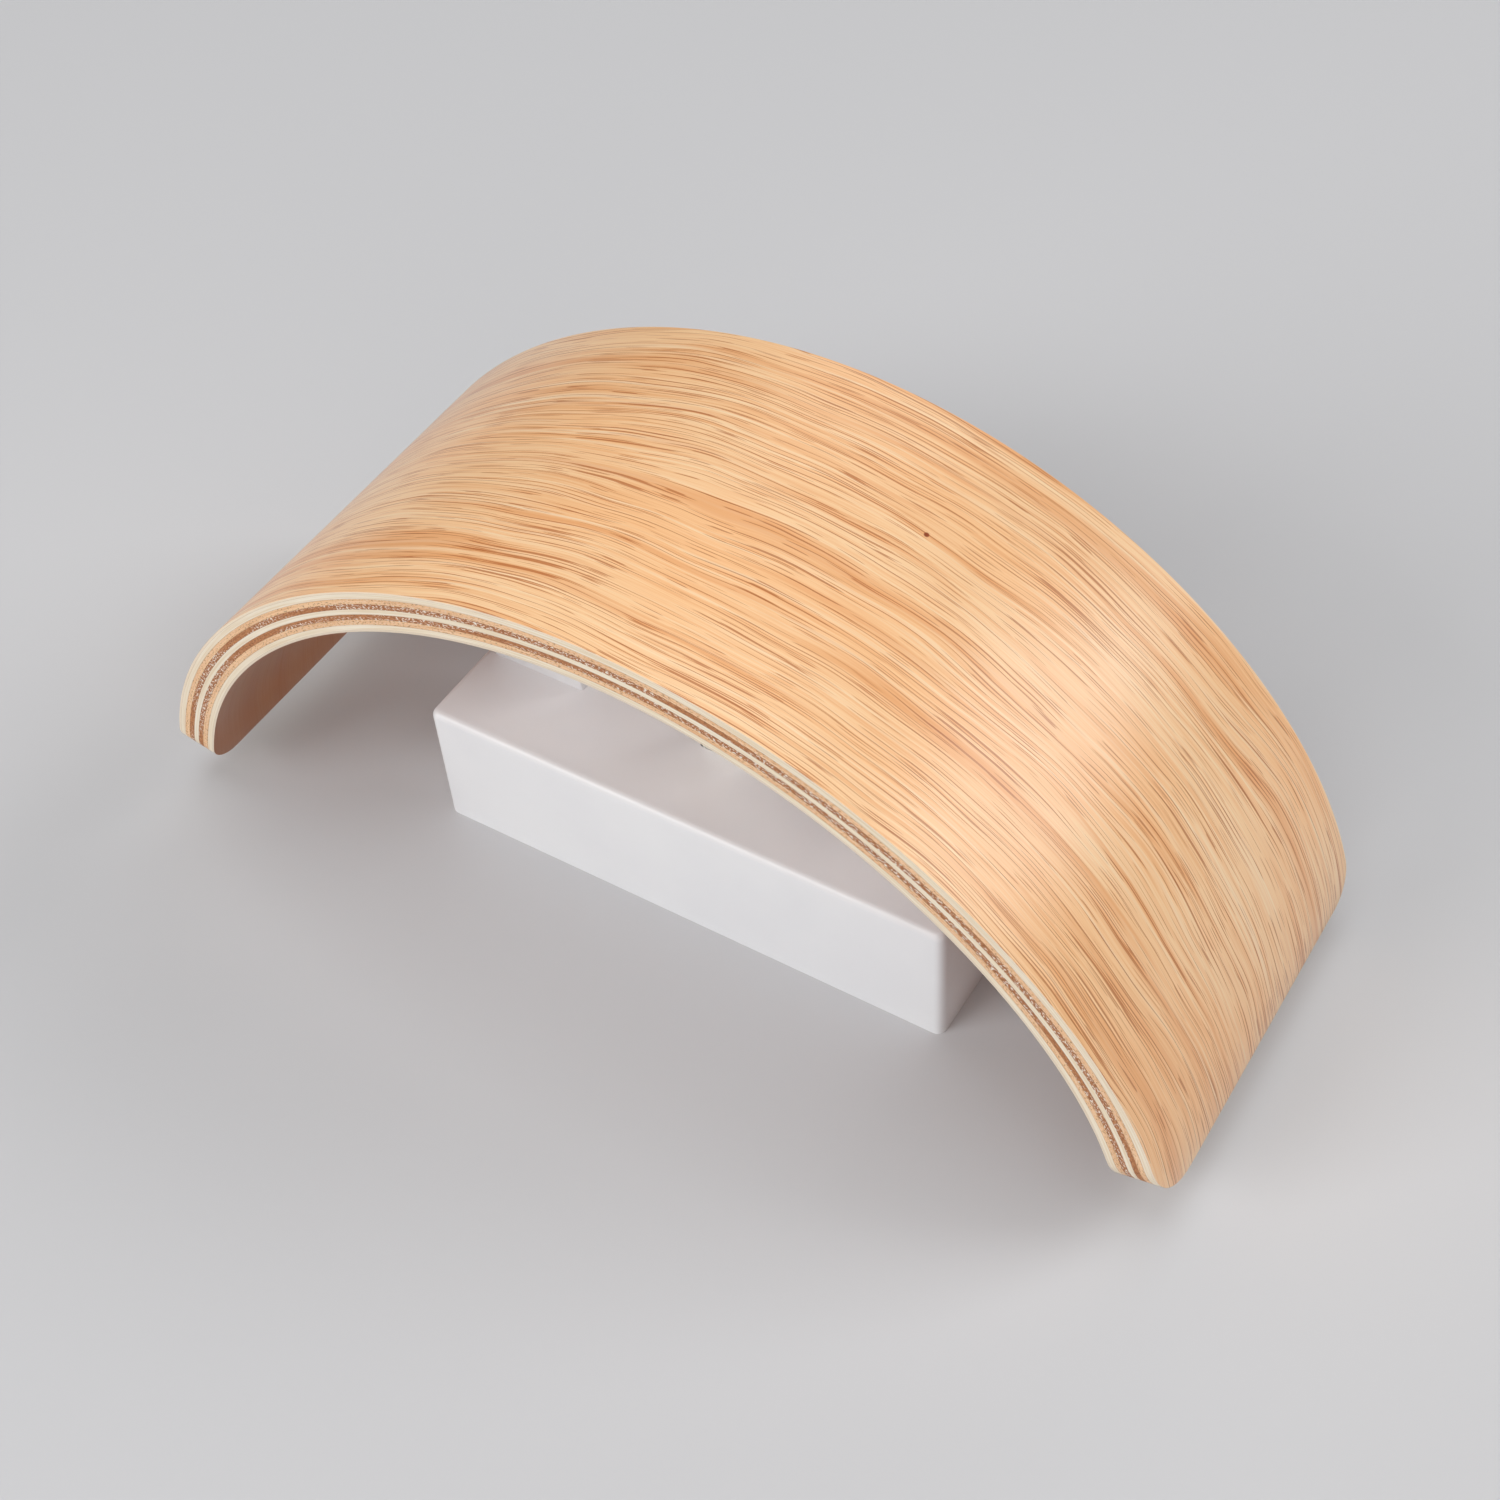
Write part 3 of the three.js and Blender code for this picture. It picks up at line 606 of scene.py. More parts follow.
# %% Bracket
EAR_IN, EAR_OUT, EAR_HALF, EAR_TOP = 71.75, 73.25, 9, 12
CABLE_HOLE = 9
wall_plate = block("wall_plate", (-EAR_OUT, -16, 0), (EAR_OUT, 16, BOX_WALL))
round_edges(wall_plate, 2, 5, lambda edge: along(edge, 2))
slices(wall_plate, (-EAR_IN, EAR_IN))
slices(wall_plate, (-EAR_HALF, EAR_HALF), axis=1)
pick(wall_plate, "FACE", lambda face: face.normal.z > 0.9 and abs(centre(face).x) > EAR_IN
     and abs(centre(face).y) < EAR_HALF)
ear_rise = (EAR_TOP - BOX_WALL) * MM
bpy.ops.mesh.extrude_region_move(TRANSFORM_OT_translate={"value": (0, 0, ear_rise)})
bpy.ops.object.mode_set(mode="OBJECT")
outward(wall_plate)
round_edges(wall_plate, 0.9, 4, lambda edge: along(edge, 1) and sharp(edge)
            and abs(abs(centre(edge).x) - EAR_IN) < 0.01 and centre(edge).z < 2)
round_edges(wall_plate, 1.1, 4, lambda edge: along(edge, 1) and sharp(edge)
            and abs(abs(centre(edge).x) - EAR_OUT) < 0.01 and centre(edge).z < 0.1
            and abs(centre(edge).y) < EAR_HALF)
round_edges(wall_plate, 1.5, 4, lambda edge: along(edge, 0) and sharp(edge) and centre(edge).z > 11)
tools = [rod("hole", CABLE_HOLE, (0, 0, -2), (0, 0, 4), 64)]
for side in (-1, 1):
    slot_tool = block("slot", (side * 40 - 7.5, -2.7, -2), (side * 40 + 7.5, 2.7, 4))
    round_edges(slot_tool, 2.69, 8, lambda edge: along(edge, 2))
    tools.append(slot_tool)
    x = sorted((side * 70, side * 75))
    tools.append(rod("notch", 2.4, (x[0], 0, LOCK_Z), (x[1], 0, LOCK_Z), 32))
    tools.append(block("notch", (x[0], -2.4, LOCK_Z), (x[1], 2.4, 15)))
cut(wall_plate, *tools)
hand_over(wall_plate, "bracket", "zinc_plate", "wall_bracket")

# %% Grommet
bush = CABLE_HOLE - GAP
sleeve = [(5, 0.6), (5.2, 0.4), (bush - 0.2, 0.4), (bush, 0.6), (bush, 1.8), (11.3, 1.8)]
lip = [(11.5, 2.1), (11.5, 3.0), (11.3, 3.5), (10.9, 3.8), (5.6, 3.8), (5.2, 3.65), (5, 3.2)]
grommet = turned("grommet", [*sleeve, *lip, (5, 0.6)], 64)
hand_over(grommet, "bracket", "black_rubber", "cable_grommet")

# %% [markdown]
# ## Holder and lamp
# The lamp is a small plug-in capsule. Its two wire loops push into a steatite holder that
# stands in the box, and an opal dome covers a strip of tiny diodes. The dome is turned
# with a real inner wall, so that it looks like a shell and not like a solid lump.

# %% Holder
SOCKET_X = 4.5
holder = block("holder", (-7.5, -4, 31), (7.5, 4, 57))
round_edges(holder, 1.5, 5, lambda edge: along(edge, 2))
round_edges(holder, 0.4, 3)
flange = block("flange", (-16, -7, 34), (16, 7, 36))
round_edges(flange, 2.5, 6, lambda edge: along(edge, 2))
round_edges(flange, 0.3, 2)
cut(holder, flange, operation="UNION")
sockets = []
for side in (-1, 1):
    x = side * SOCKET_X
    sockets.append(block("socket", (x - 2.1, -1.1, 47), (x + 2.1, 1.1, 58)))
    sockets.append(rod("wire_way", 1.4, (x, 0, 30), (x, 0, 36), 24))
    x = side * HOLDER_SCREW_X
    sockets.append(rod("screw_way", BORE_3, (x, 0, 33), (x, 0, 37), 24))
cut(holder, *sockets)
hand_over(holder, "light_body", "glazed_holder", "lamp_holder")

# %% Lamp base and dome
lamp_foot = block("lamp_foot", (-7, -5, 57.3), (7, 5, 68))
round_edges(lamp_foot, 2, 5, lambda edge: along(edge, 2))
round_edges(lamp_foot, 0.5, 3)
pick(lamp_foot, "FACE", lambda face: face.normal.z > 0.99)
bpy.ops.mesh.inset(thickness=0.5 * MM)
bpy.ops.mesh.extrude_region_move(TRANSFORM_OT_translate={"value": (0, 0, -0.5 * MM)})
bpy.ops.object.mode_set(mode="OBJECT")
cut(lamp_foot, block("seat", (-3.1, -0.9, 66), (3.1, 0.9, 70)))
hand_over(lamp_foot, "bulb", "glazed_holder", "lamp_base")

dome_outside = [(7.5, 68.5), *dome(7.5, 89.5, 97, 12)]
dome_inside = [*reversed(dome(6.5, 89.5, 96, 10)), (6.5, 68.5)]
dome_foot = [(6.7, 68.3), (7.3, 68.3), (7.5, 68.5)]
capsule = turned("lamp_dome", [*dome_outside, *dome_inside, *dome_foot], 64)
hand_over(capsule, "bulb", "opal_cover", "lamp_capsule", angle=45)

# %% Diodes and pins
DIODE_X, DIODE_STEP = 1.45, 4
board = block("diode_board", (-3, -0.8, 68), (3, 0.8, 91))
round_edges(board, 0.3, 2, lambda edge: along(edge, 1))
hand_over(board, "bulb", "white_board", "lamp_led_strip")
diode = block("diode", (-1.1, -1.25, 0), (1.1, -0.85, 1.8))
round_edges(diode, 0.15, 2)
diodes = [copy_of(diode, "diode", at(x, 0, 70 + DIODE_STEP * row, turn))
          for row in range(5) for x in (-DIODE_X, DIODE_X)
          for turn in (Matrix.Identity(4), Matrix.Rotation(math.pi, 4, "Z"))]
activate(diode)
for twin in diodes:
    twin.select_set(True)
bpy.data.meshes.remove(diode.data)
bpy.context.view_layer.objects.active = diodes[0]
bpy.ops.object.join()
diodes[0].name = "diodes"
hand_over(diodes[0], "bulb", "white_board")

for side_name, side in (("left", -1), ("right", 1)):
    x = side * SOCKET_X
    bend = [(x + 1.1 * math.cos(a), 0, 51.4 - 0.95 * math.sin(a))
            for a in (math.pi * i / 6 for i in range(7))]
    path = [(x + 1.1, 0, 57.3), (x + 1.1, 0, 54), *bend, (x - 1.1, 0, 54), (x - 1.1, 0, 57.3)]
    pin = tube(f"pin_{side_name}", path, 0.45)
    hand_over(pin, "bulb", "zinc_plate", f"lamp_pin_{side_name}")

# %% [markdown]
# ## Inside the box
# A steel strap carries the terminal block, and three leads run to it from the holder and
# from the earth stud. None of it shows from the room, but it does when the light is lifted
# off the wall. The strap is a plain stamped strip, so the precise model's own one stays.

# %% Terminal block, its tubes and clamp screws
POLES = (-9, 0, 9)
POLE_Z = 30
CLAMPS = (26.5, 33.5)
terminal = block("terminal_body", (22, -14, BLOCK_BASE), (38, 14, 36))
round_edges(terminal, 1, 3, lambda edge: along(edge, 2))
for pole in POLES:
    cut(terminal, rod("bore", 2.9, (20, pole, POLE_Z), (40, pole, POLE_Z), 32))
    for x in CLAMPS:
        cut(terminal, rod("clamp_way", 1.9, (x, pole, 20), (x, pole, 26.5), 24))
cut(terminal, *[block("groove", (20, y - 0.5, 20), (40, y + 0.5, 25.2)) for y in (-4.5, 4.5)])
for name, radius, top in (("bore", 1.5, 40), ("seat", 2.6, 25.5)):
    cut(terminal, rod(name, radius, (BLOCK_SCREW_X, BLOCK_SCREW_Y, 20),
                      (BLOCK_SCREW_X, BLOCK_SCREW_Y, top), 24))
round_edges(terminal, 0.2, 2, lambda edge: sharp(edge, 80) and centre(edge).z < BLOCK_BASE + 0.1)
hand_over(terminal, "light_body", "nylon", "terminal_block")

clamp = rod("clamp", 1.75, (0, 0, 24.4), (0, 0, 26.4), 32)
round_edges(clamp, 0.2, 2)
cut(clamp, block("driver", (-2, -0.3, 24), (2, 0.3, 25)))
for i, pole in enumerate(POLES, 1):
    barrel = rod("barrel", 2.6, (23, pole, POLE_Z), (37, pole, POLE_Z))
    cut(barrel, rod("bore", 1.6, (20, pole, POLE_Z), (40, pole, POLE_Z), 32))
    round_edges(barrel, 0.2, 2, lambda edge: sharp(edge, 80))
    hand_over(barrel, "light_body", "brass", f"terminal_tube_{i}")
    for j, x in enumerate(CLAMPS, 1):
        turn = Matrix.Rotation(0.4 * i + j, 4, "Z")
        twin = copy_of(clamp, f"clamp_screw_{i}_{j}", at(x, pole, 0, turn))
        hand_over(twin, "light_body", "brass")
bpy.data.meshes.remove(clamp.data)

# %% Earth stud, tag and nut
STUD_X, STUD_Y = -30, 12
stud_turned = turned("earth_post", ridges(2, 10, 0.7)[:-1] + [(1.9, -0.02), (0, -0.02)], 40)
stud = copy_of(stud_turned, "earth_post", at(STUD_X, STUD_Y, CEILING))
bpy.data.meshes.remove(stud_turned.data)
hand_over(stud, "light_body", "brass", "earth_stud")
tag = rod("tag", 4, (0, 0, 36.7), (0, 0, 37.5))
cut(tag, block("tongue", (2.5, -1.7, 36.7), (7, 1.7, 37.5)), operation="UNION")
cut(tag, rod("crimp", 1.8, (6, 0, 35.5), (11, 0, 35.5), 32), operation="UNION")
cut(tag, rod("bore", BORE_4, (0, 0, 34), (0, 0, 40), 32),
    rod("bore", 1.3, (7, 0, 35.5), (12, 0, 35.5), 32))
tag = copy_of(tag, "earth_ring", at(STUD_X, STUD_Y, 0))
bpy.data.meshes.remove(bpy.data.meshes["tag"])
hand_over(tag, "light_body", "brass", "earth_tag")
stud_nut = hexagon_nut("stud_nut", 7, 2, 33.5, 36.7)
stud_nut = copy_of(stud_nut, "earth_clamp_nut", at(STUD_X, STUD_Y, 0))
bpy.data.meshes.remove(bpy.data.meshes["stud_nut"])
hand_over(stud_nut, "light_body", "brass", "earth_nut")

# %% Leads
routes = {
    "live": [(-4.5, 0, 34), (-4.5, 0, 29), (-1, -3, 22.5), (8, -8, 20.5), (15, -9, 26),
             (20, -9, 29.8), (26, -9, 30)],
    "neutral": [(4.5, 0, 34), (4.5, 0, 29), (8, 0, 22.5), (14, 0, 23), (19, 0, 29.2), (26, 0, 30)],
    "earth": [(-22, 12, 35.5), (-18, 12, 35.5), (-12, 12.5, 33), (-4, 14, 27), (8, 13, 23.5), (15, 10, 26),
              (20, 9, 29.8), (26, 9, 30)],
}
insulation = {"live": "brown_insulation", "neutral": "blue_insulation", "earth": "green_insulation"}
for name, route in routes.items():
    wire = tube(f"{name}_wire", route, 1.0)
    stripe = wire.data.attributes.new("stripe", "FLOAT", "POINT")
    for vertex, mark in zip(wire.data.vertices, stripe.data):
        mark.value = float(abs(vertex.normal.z) > 0.7)
    hand_over(wire, "light_body", insulation[name], f"{name}_lead")

# %% [markdown]
# ## Finishes
# A finish is a small sum of patterns, and a sum is easier to read as Python than as boxes
# and wires. The class below wraps one shader value, so that + and * add the Math nodes by
# themselves, and every other node comes from one method, which sets its settings first
# and its inputs after. A number that is the same all over goes straight on the shader.

# %% Writing shaders as sums
def rgb(red, green, blue):
    """A colour from 0 to 255 as the linear values that a shader wants."""
    parts = [c / 255 for c in (red, green, blue)]
    return (*[c / 12.92 if c <= 0.04045 else ((c + 0.055) / 1.055) ** 2.4 for c in parts], 1)


class Value:
    """One shader value that takes part in ordinary sums."""

    def __init__(self, recipe, link):
        self.recipe, self.link = recipe, link

    def math(self, operation, *values):
        return self.recipe.node("ShaderNodeMath", {"operation": operation}, dict(enumerate(values)))

    def __add__(self, other):
        return self.math("ADD", self, other)

    def __sub__(self, other):
        return self.math("SUBTRACT", self, other)

    def __rsub__(self, other):
        return self.math("SUBTRACT", other, self)

    def __mul__(self, other):
        return self.math("MULTIPLY", self, other)

    def __truediv__(self, other):
        return self.math("DIVIDE", self, other)

    def __abs__(self):
        return self.math("ABSOLUTE", self)

    def fraction(self):
        return self.math("FRACT", self)

    __radd__ = __add__
    __rmul__ = __mul__


class Recipe:
    """One material, written step by step."""

    def __init__(self, name, constants):
        self.name = name
        self.material = bpy.data.materials.new(name)
        self.material.use_nodes = True
        self.tree = self.material.node_tree
        self.shader = self.tree.nodes["Principled BSDF"]
        self.set(**constants)

    def set(self, **values):
        """Feed the shader: Base_Color stands for its Base Color socket."""
        for name, value in values.items():
            self.feed(self.shader.inputs[name.replace("_", " ")], value)

    def feed(self, socket, value):
        if isinstance(value, Value):
            self.tree.links.new(value.link, socket)
        else:
            socket.default_value = value

    def node(self, kind, settings=(), values=(), output=0):
        node = self.tree.nodes.new(kind)
        for name, value in dict(settings).items():
            setattr(node, name, value)
        for name, value in dict(values).items():
            found = [s for s in node.inputs if s.identifier == name]
            self.feed(found[0] if found else node.inputs[name], value)
        found = [s for s in node.outputs if s.identifier == output]
        return Value(self, found[0] if found else node.outputs[output])

    def place(self):
        return self.node("ShaderNodeTexCoord", output="Object")

    def attribute(self, name, output="Vector"):
        return self.node("ShaderNodeAttribute", {"attribute_name": name}, output=output)

    def vector(self, operation, *values, output=0):
        settings = {"operation": operation}
        return self.node("ShaderNodeVectorMath", settings, dict(enumerate(values)), output)

    def stretch(self, place, x, y, z):
        return self.vector("MULTIPLY", place, (x, y, z))

    def parts(self, vector):
        return [self.node("ShaderNodeSeparateXYZ", (), {0: vector}, axis) for axis in "XYZ"]

    def join(self, x, y, z):
        return self.node("ShaderNodeCombineXYZ", (), {0: x, 1: y, 2: z})

    def noise(self, place, scale=1, detail=2, roughness=0.5):
        return self.node("ShaderNodeTexNoise", (), {
            "Vector": place, "Scale": scale, "Detail": detail, "Roughness": roughness}, "Fac")

    def cells(self, place, scale):
        return self.node("ShaderNodeTexVoronoi", (), {"Vector": place, "Scale": scale}, "Distance")

    def rise(self, value, start, stop, low=0.0, high=1.0):
        """A smooth step from low to high while the value goes from start to stop."""
        return self.node("ShaderNodeMapRange", {"interpolation_type": "SMOOTHSTEP"}, {
            "Value": value, "From Min": start, "From Max": stop,
            "To Min": low, "To Max": high}, "Result")

    def mix(self, amount, first, second, blend="MIX"):
        return self.node("ShaderNodeMix", {"data_type": "RGBA", "blend_type": blend}, {
            "Factor_Float": amount, "A_Color": first, "B_Color": second}, "Result_Color")

    def bump(self, height, strength, distance):
        normal = self.node("ShaderNodeBump", (), {
            "Strength": strength, "Distance": distance, "Height": height}, "Normal")
        self.set(Normal=normal)

    def spot(self, place, centre_mm, radius_mm):
        """1 inside a small ball and 0 outside, for one chip or pin knot."""
        gap = self.vector("DISTANCE", place, tuple(c * MM for c in centre_mm), output="Value")
        return self.rise(gap, radius_mm * MM * 0.6, radius_mm * MM, 1.0, 0.0)


finishes = {}


def keep(recipe):
    finishes[recipe.name] = recipe.material
    print(recipe.name, "finish:", len(recipe.tree.nodes), "nodes")


# %% [markdown]
# ### Oak veneer
# Sliced oak has three scales of marking. Broad lengthwise bands, a few millimetres wide,
# wander slowly and are a browner orange. Inside them run thin lines. On top lie the pores,
# long and short dark dashes a few tenths of a millimetre wide, which the lacquer does not
# fill, so they are also slightly sunk. All of them follow the bend, because they are drawn
# on the flat board's own coordinates, which each sheet kept. The inner face is smoother, so
# its pores fade out, and it carries painted shade: its colour is multiplied to a deeper brown
# for the shade under the arch. A face that looked sideways on the flat board is a sawn edge, which is
# paler.

# %% Oak
oak = Recipe("oak_face", {"Coat_Weight": 0.8, "Coat_Roughness": 0.28, "Specular_IOR_Level": 0.15})
flat = oak.stretch(oak.attribute("flat"), 1000, 1000, 1000)
s, y, below = oak.parts(flat)
outside = oak.rise(below, 5.0, 6.0, 1.0, 0.0)
wander = oak.noise(oak.stretch(flat, 0.009, 0.02, 0.3), detail=2) - 0.5
ripple = oak.noise(oak.stretch(flat, 0.03, 0.1, 0.3), detail=2) - 0.5
across = y + 14 * wander + 1.2 * ripple
grain = oak.join(s, across, below)
band = oak.noise(oak.stretch(grain, 0.005, 0.17, 0.3), detail=2, roughness=0.5)
lines = oak.noise(oak.stretch(grain, 0.01, 0.8, 0.3), detail=3, roughness=0.65)
fibre = oak.noise(oak.stretch(grain, 0.04, 2.8, 1), detail=2, roughness=0.6)
cloud = oak.noise(oak.stretch(flat, 0.015, 0.03, 0.3), detail=1)
streak = oak.rise(band, 0.52, 0.66)
thin = oak.rise(lines, 0.5, 0.64)
long_pores = oak.noise(oak.stretch(grain, 0.018, 2.5, 1), detail=0)
short_pores = oak.noise(oak.stretch(grain, 0.06, 3.0, 1), detail=0)
pores = oak.rise(long_pores + 0.02 * streak + 0.03 * thin, 0.66, 0.69)
dashes = oak.rise(short_pores + 0.02 * streak + 0.03 * thin, 0.68, 0.72)
light_wood = oak.mix(oak.rise(cloud, 0.35, 0.65), rgb(255, 213, 165), rgb(254, 202, 149))
wood = oak.mix(oak.rise(lines, 0.26, 0.5), rgb(255, 227, 190), light_wood)
wood = oak.mix(0.6 * streak, wood, rgb(234, 163, 104))
wood = oak.mix(0.4 * thin, wood, rgb(232, 160, 98))
wood = oak.mix(oak.rise(fibre, 0.45, 0.62) * 0.3, wood, rgb(236, 168, 110))
wood = oak.mix(0.75 * pores * outside, wood, rgb(184, 102, 44))
wood = oak.mix(0.7 * dashes * outside, wood, rgb(184, 102, 44))
PIN_KNOT = (46, 18, 0)
knot = oak.spot(oak.attribute("flat"), PIN_KNOT, 0.8)
wood = oak.mix(knot, wood, rgb(150, 70, 36))
sawn = oak.rise(oak.attribute("side", "Fac"), 0.25, 0.8)
# Painted shade: the inner face's colour is multiplied to a deeper brown, for the shade that falls under
# the arch.
painted_shade_inner = oak.mix(1.0, wood, rgb(187, 152, 129), "MULTIPLY")
inner = oak.mix(0.35, rgb(170, 104, 58), painted_shade_inner)
wood = oak.mix(outside, inner, wood)
wood = oak.mix(sawn * 0.85, wood, rgb(244, 230, 206))
oak.set(Base_Color=wood, Roughness=0.38 + 0.12 * fibre + 0.12 * pores)
oak.bump(0.6 * pores + 0.3 * dashes + 0.15 * fibre, 0.2, -0.00012)
keep(oak)


# %% [markdown]
# ### Plywood edges
# The board's edge shows some plies along the grain and some end on. Pale plies are smooth
# with faint lines that follow the arch. Dark plies are cut across the grain, so they are
# coarser, with open fibre ends, and carry tiny painted highlights for the lacquer's sparkle,
# of which the tan plies have a few. A thin dark line of glue parts one ply from the next.

# %% Ply edges
def ply(name, pale, deep, long_grain, painted_glints):
    recipe = Recipe(name, {"Specular_IOR_Level": 0.35})
    flat = recipe.stretch(recipe.attribute("flat"), 1000, 1000, 1000)
    below = recipe.parts(flat)[2]
    layer = ((below - VENEER) / PLY).fraction()
    seam = recipe.rise(abs(layer - 0.5), 0.44, 0.495)
    run = 0.05 if long_grain else 0.9
    soft = recipe.noise(recipe.stretch(flat, run, run, 3.0), detail=3, roughness=0.6)
    patch = recipe.noise(recipe.stretch(flat, 0.03, 0.03, 0.4), detail=2)
    rough = recipe.noise(recipe.stretch(flat, 1.1, 1.1, 2.6), detail=2, roughness=0.6)
    colour = recipe.mix(recipe.rise(soft, 0.35, 0.7), pale, deep)
    colour = recipe.mix(recipe.rise(patch, 0.35, 0.7) * 0.3, colour, deep)
    colour = recipe.mix(seam * 0.5, colour, rgb(150, 104, 70))
    if painted_glints:
        # Painted highlights: near-white spots on the rough plies stand for the sparkle of the lacquer on
        # them.
        bright = recipe.rise(rough, 0.54, 0.6) * recipe.rise(patch, 0.38, 0.5)
        dark = recipe.rise(rough, 0.44, 0.34)
        colour = recipe.mix(dark * 0.6, colour, rgb(112, 66, 40))
        colour = recipe.mix(bright * painted_glints, colour, rgb(255, 246, 232))
        recipe.set(Roughness=0.65 - 0.4 * bright)
    else:
        recipe.set(Roughness=0.5 + 0.15 * soft)
    recipe.set(Base_Color=colour)
    recipe.bump(rough + 0.5 * soft, 0.35 if painted_glints else 0.12, 0.0002)
    keep(recipe)


ply("birch_ply", rgb(250, 238, 218), rgb(236, 215, 184), True, 0)
ply("poplar_ply", rgb(250, 208, 164), rgb(230, 180, 134), True, 0.25)
ply("dark_ply", rgb(198, 136, 90), rgb(164, 104, 64), False, 0.9)

# %% [markdown]
# ### Paint, metal and mouldings
# Powder coat flows into a faint orange-peel skin and catches a little dust. Plated and
# turned metal keeps fine scratches and cloudy patches. Each of these is a colour that
# drifts a little, a roughness that drifts with it, and a very low bump.

# %% Painted steel
paint = Recipe("white_paint", {"Specular_IOR_Level": 0.5, "Coat_Weight": 0.15, "Coat_Roughness": 0.2})
where = paint.place()
peel = paint.noise(where, 900, detail=2)
drift = paint.noise(where, 25, detail=3)
dust = paint.rise(paint.cells(where, 500), 0.09, 0.05)
shade = paint.mix(paint.rise(drift, 0.3, 0.7), rgb(246, 246, 247), rgb(241, 241, 243))
shade = paint.mix(dust * 0.08, shade, rgb(190, 188, 184))
PAINT_NICK = (-75, -28, 13.5)
nick = paint.spot(where, PAINT_NICK, 0.8)
shade = paint.mix(nick * 0.8, shade, rgb(150, 148, 146))
paint.set(Base_Color=shade, Roughness=0.34 + 0.1 * drift + 0.2 * nick)
paint.bump(peel - 6 * nick, 0.12, 0.00008)
keep(paint)


# %% Bare metals
def metal(name, bright, dull, roughness):
    recipe = Recipe(name, {"Metallic": 1.0})
    where = recipe.place()
    cloud = recipe.noise(where, 120, detail=4, roughness=0.6)
    scratch = recipe.noise(recipe.stretch(where, 300, 4000, 4000), 1, detail=2)
    grain = recipe.noise(where, 2500, detail=2)
    colour = recipe.mix(recipe.rise(cloud, 0.35, 0.7), bright, dull)
    recipe.set(Base_Color=colour, Roughness=roughness + 0.18 * cloud + 0.1 * scratch - 0.05)
    recipe.bump(0.6 * scratch + 0.4 * grain, 0.1, 0.00004)
    keep(recipe)


metal("zinc_plate", rgb(208, 212, 216), rgb(184, 187, 186), 0.26)
metal("brass", rgb(226, 192, 112), rgb(196, 158, 82), 0.22)


# %% Mouldings, rubber and insulation
def moulding(name, pale, deep, roughness, speckle, peel_size=700, peel=0.12):
    recipe = Recipe(name, {"Specular_IOR_Level": 0.45})
    where = recipe.place()
    drift = recipe.noise(where, 90, detail=3)
    grain = recipe.noise(where, peel_size, detail=3, roughness=0.6)
    specks = recipe.rise(recipe.cells(where, 900), 0.16, 0.1)
    colour = recipe.mix(recipe.rise(drift, 0.3, 0.7), pale, deep)
    colour = recipe.mix(specks * speckle, colour, rgb(120, 112, 100))
    recipe.set(Base_Color=colour, Roughness=roughness + 0.15 * grain)
    recipe.bump(grain, peel, 0.0001)
    keep(recipe)
    return recipe


moulding("glazed_holder", rgb(240, 238, 231), rgb(232, 229, 220), 0.42, 0.25)
moulding("opal_cover", rgb(246, 246, 242), rgb(241, 241, 236), 0.2, 0.0, 300, 0.04)
moulding("nylon", rgb(236, 234, 224), rgb(226, 223, 210), 0.4, 0.05)
moulding("black_rubber", rgb(38, 38, 39), rgb(30, 30, 31), 0.62, 0.05, 1500, 0.3)
moulding("brown_insulation", rgb(112, 70, 42), rgb(98, 60, 36), 0.38, 0.0)
moulding("blue_insulation", rgb(52, 112, 184), rgb(42, 98, 168), 0.38, 0.0)
earth = moulding("green_insulation", rgb(84, 158, 66), rgb(70, 142, 56), 0.38, 0.0)
green = Value(earth, earth.shader.inputs["Base Color"].links[0].from_socket)
earth.set(Base_Color=earth.mix(earth.attribute("stripe", "Fac"), green, rgb(236, 208, 60)))

# %% Diode board
circuit = Recipe("white_board", {"Specular_IOR_Level": 0.5})
where = circuit.stretch(circuit.place(), 1000, 1000, 1000)
x, y, z = circuit.parts(where)
row = abs(((z - 70) / DIODE_STEP).fraction() * DIODE_STEP - 0.9)
column = abs(abs(x) - DIODE_X)
window = circuit.rise(row, 0.72, 0.62) * circuit.rise(column, 0.9, 0.8)
window = window * circuit.rise(abs(y), 1.2, 1.22)
track = circuit.rise(abs(abs(x) - 0.15), 0.1, 0.05)
grain = circuit.noise(where, 3, detail=2)
colour = circuit.mix(grain * 0.2, rgb(240, 240, 234), rgb(224, 224, 216))
colour = circuit.mix(track * 0.4, colour, rgb(206, 200, 180))
colour = circuit.mix(window, colour, rgb(236, 206, 92))
circuit.set(Base_Color=colour, Roughness=0.35 + 0.15 * grain)
circuit.bump(grain, 0.06, 0.00005)
keep(circuit)

# %% Floor
ground = Recipe("floor", {"Specular_IOR_Level": 0.2})
where = ground.place()
tone = ground.noise(where, 3, detail=2)
grey = ground.mix(tone * 0.3, rgb(206, 206, 208), rgb(203, 203, 205))
ground.set(Base_Color=grey, Roughness=0.7 + 0.1 * tone)

# %% [markdown]
# ### Putting them on
# Each piece says which slot it belongs to, and gets the finish of that name. The one piece
# kept from the precise model is given its slot's finish too.

# %% Put each finish on
slot_of = {part["node"]: part["material_slot"] for part in frame["record"]["subparts"]}
for piece in pieces:
    piece.data.materials.clear()
    piece.data.materials.append(finishes[piece["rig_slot"]])
for name, node in frame["nodes"].items():
    if not node.hide_render:
        for material_slot in node.material_slots:
            material_slot.material = finishes[slot_of[name]]
        print("kept from the precise model:", name)

# %% [markdown]
# ## Studio
# A wide pale floor lies under six large soft lamps. Three strong ones, from the front left,
# from overhead and from the back right, make the soft shadow and the bright band on the
# arch. Three weak ones even out the rest, and the sky is almost black, so that the shadow
# under the arch stays deep. The camera has a normal lens and looks down at about
# forty-eight degrees from the front right.

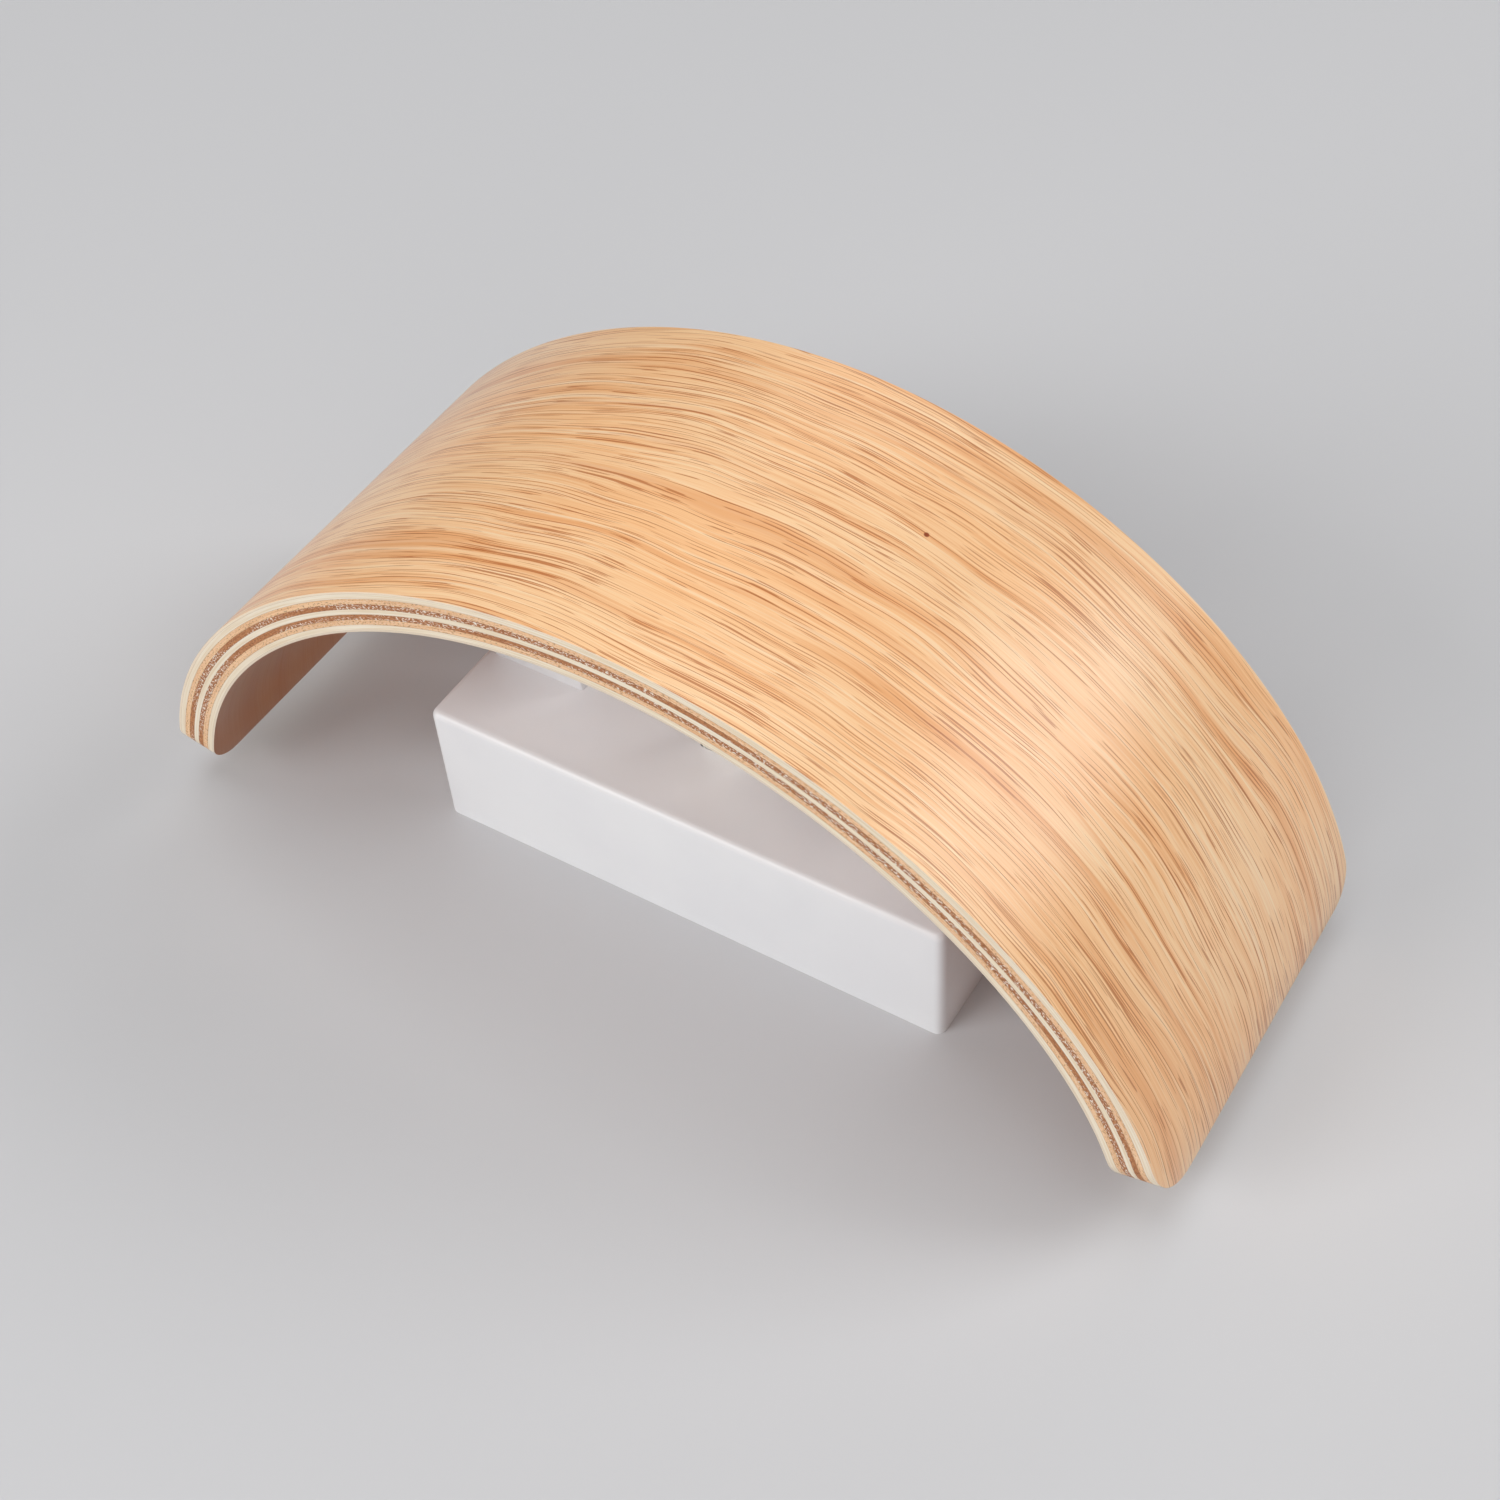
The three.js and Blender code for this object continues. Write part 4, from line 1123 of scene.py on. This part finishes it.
# %% Floor
deselect()
bpy.ops.mesh.primitive_plane_add(size=12, location=(0, 0, 0))
floor = settle(bpy.context.object, "floor")
floor.data.materials.append(ground.material)


# %% Lamps and sky
def softbox(name, place, side, power):
    """A square lamp, in metres and watts, that looks at the middle of the arch."""
    place = Vector(place)
    aim = (Vector((0, 0, 0.05)) - place).to_track_quat("-Z", "Y").to_euler()
    bpy.ops.object.light_add(type="AREA", location=place, rotation=aim)
    lamp = bpy.context.object
    lamp.name = lamp.data.name = name
    lamp.data.shape = "SQUARE"
    lamp.data.size = side
    lamp.data.energy = power
    print(name, "lamp:", power, "W")


softbox("front_left", (-1.6, -2.6, 1.7), 1.8, 57)
softbox("overhead", (0, 0, 3.6), 2.4, 45)
softbox("back_right", (2.4, 2.0, 2.15), 1.8, 54)
softbox("front_right", (2.4, -2.0, 2.0), 1.8, 16)
softbox("front_high", (0.1, -2.2, 2.6), 1.8, 26)
softbox("back_left", (-0.8, 3.0, 1.8), 1.8, 10)
world = bpy.data.worlds.new("studio")
bpy.context.scene.world = world
world.use_nodes = True
sky = world.node_tree.nodes["Background"].inputs
sky["Color"].default_value = (1, 1, 1, 1)
sky["Strength"].default_value = 0.02

# %% Camera
CAMERA_PLACE = (0.23158, -0.31968, 0.47929)
AZIMUTH, ELEVATION, ROLL = (math.radians(angle) for angle in (35.334, 48.277, -4.811))
back = Vector((math.sin(AZIMUTH) * math.cos(ELEVATION),
               -math.cos(AZIMUTH) * math.cos(ELEVATION), math.sin(ELEVATION)))
right = Vector((math.cos(AZIMUTH), math.sin(AZIMUTH), 0))
up = back.cross(right)
camera_x = math.cos(ROLL) * right + math.sin(ROLL) * up
camera_y = math.cos(ROLL) * up - math.sin(ROLL) * right
bpy.ops.object.camera_add()
camera = bpy.context.object
looks = Matrix((camera_x, camera_y, back)).transposed().to_4x4()
camera.matrix_world = Matrix.Translation(CAMERA_PLACE) @ looks
camera.data.sensor_width = 36
camera.data.lens = 56.52
camera.data.clip_start = 0.01
bpy.context.scene.camera = camera
bpy.context.scene.view_settings.view_transform = "Standard"
print("camera, mm:", [round(1000 * side) for side in camera.location])
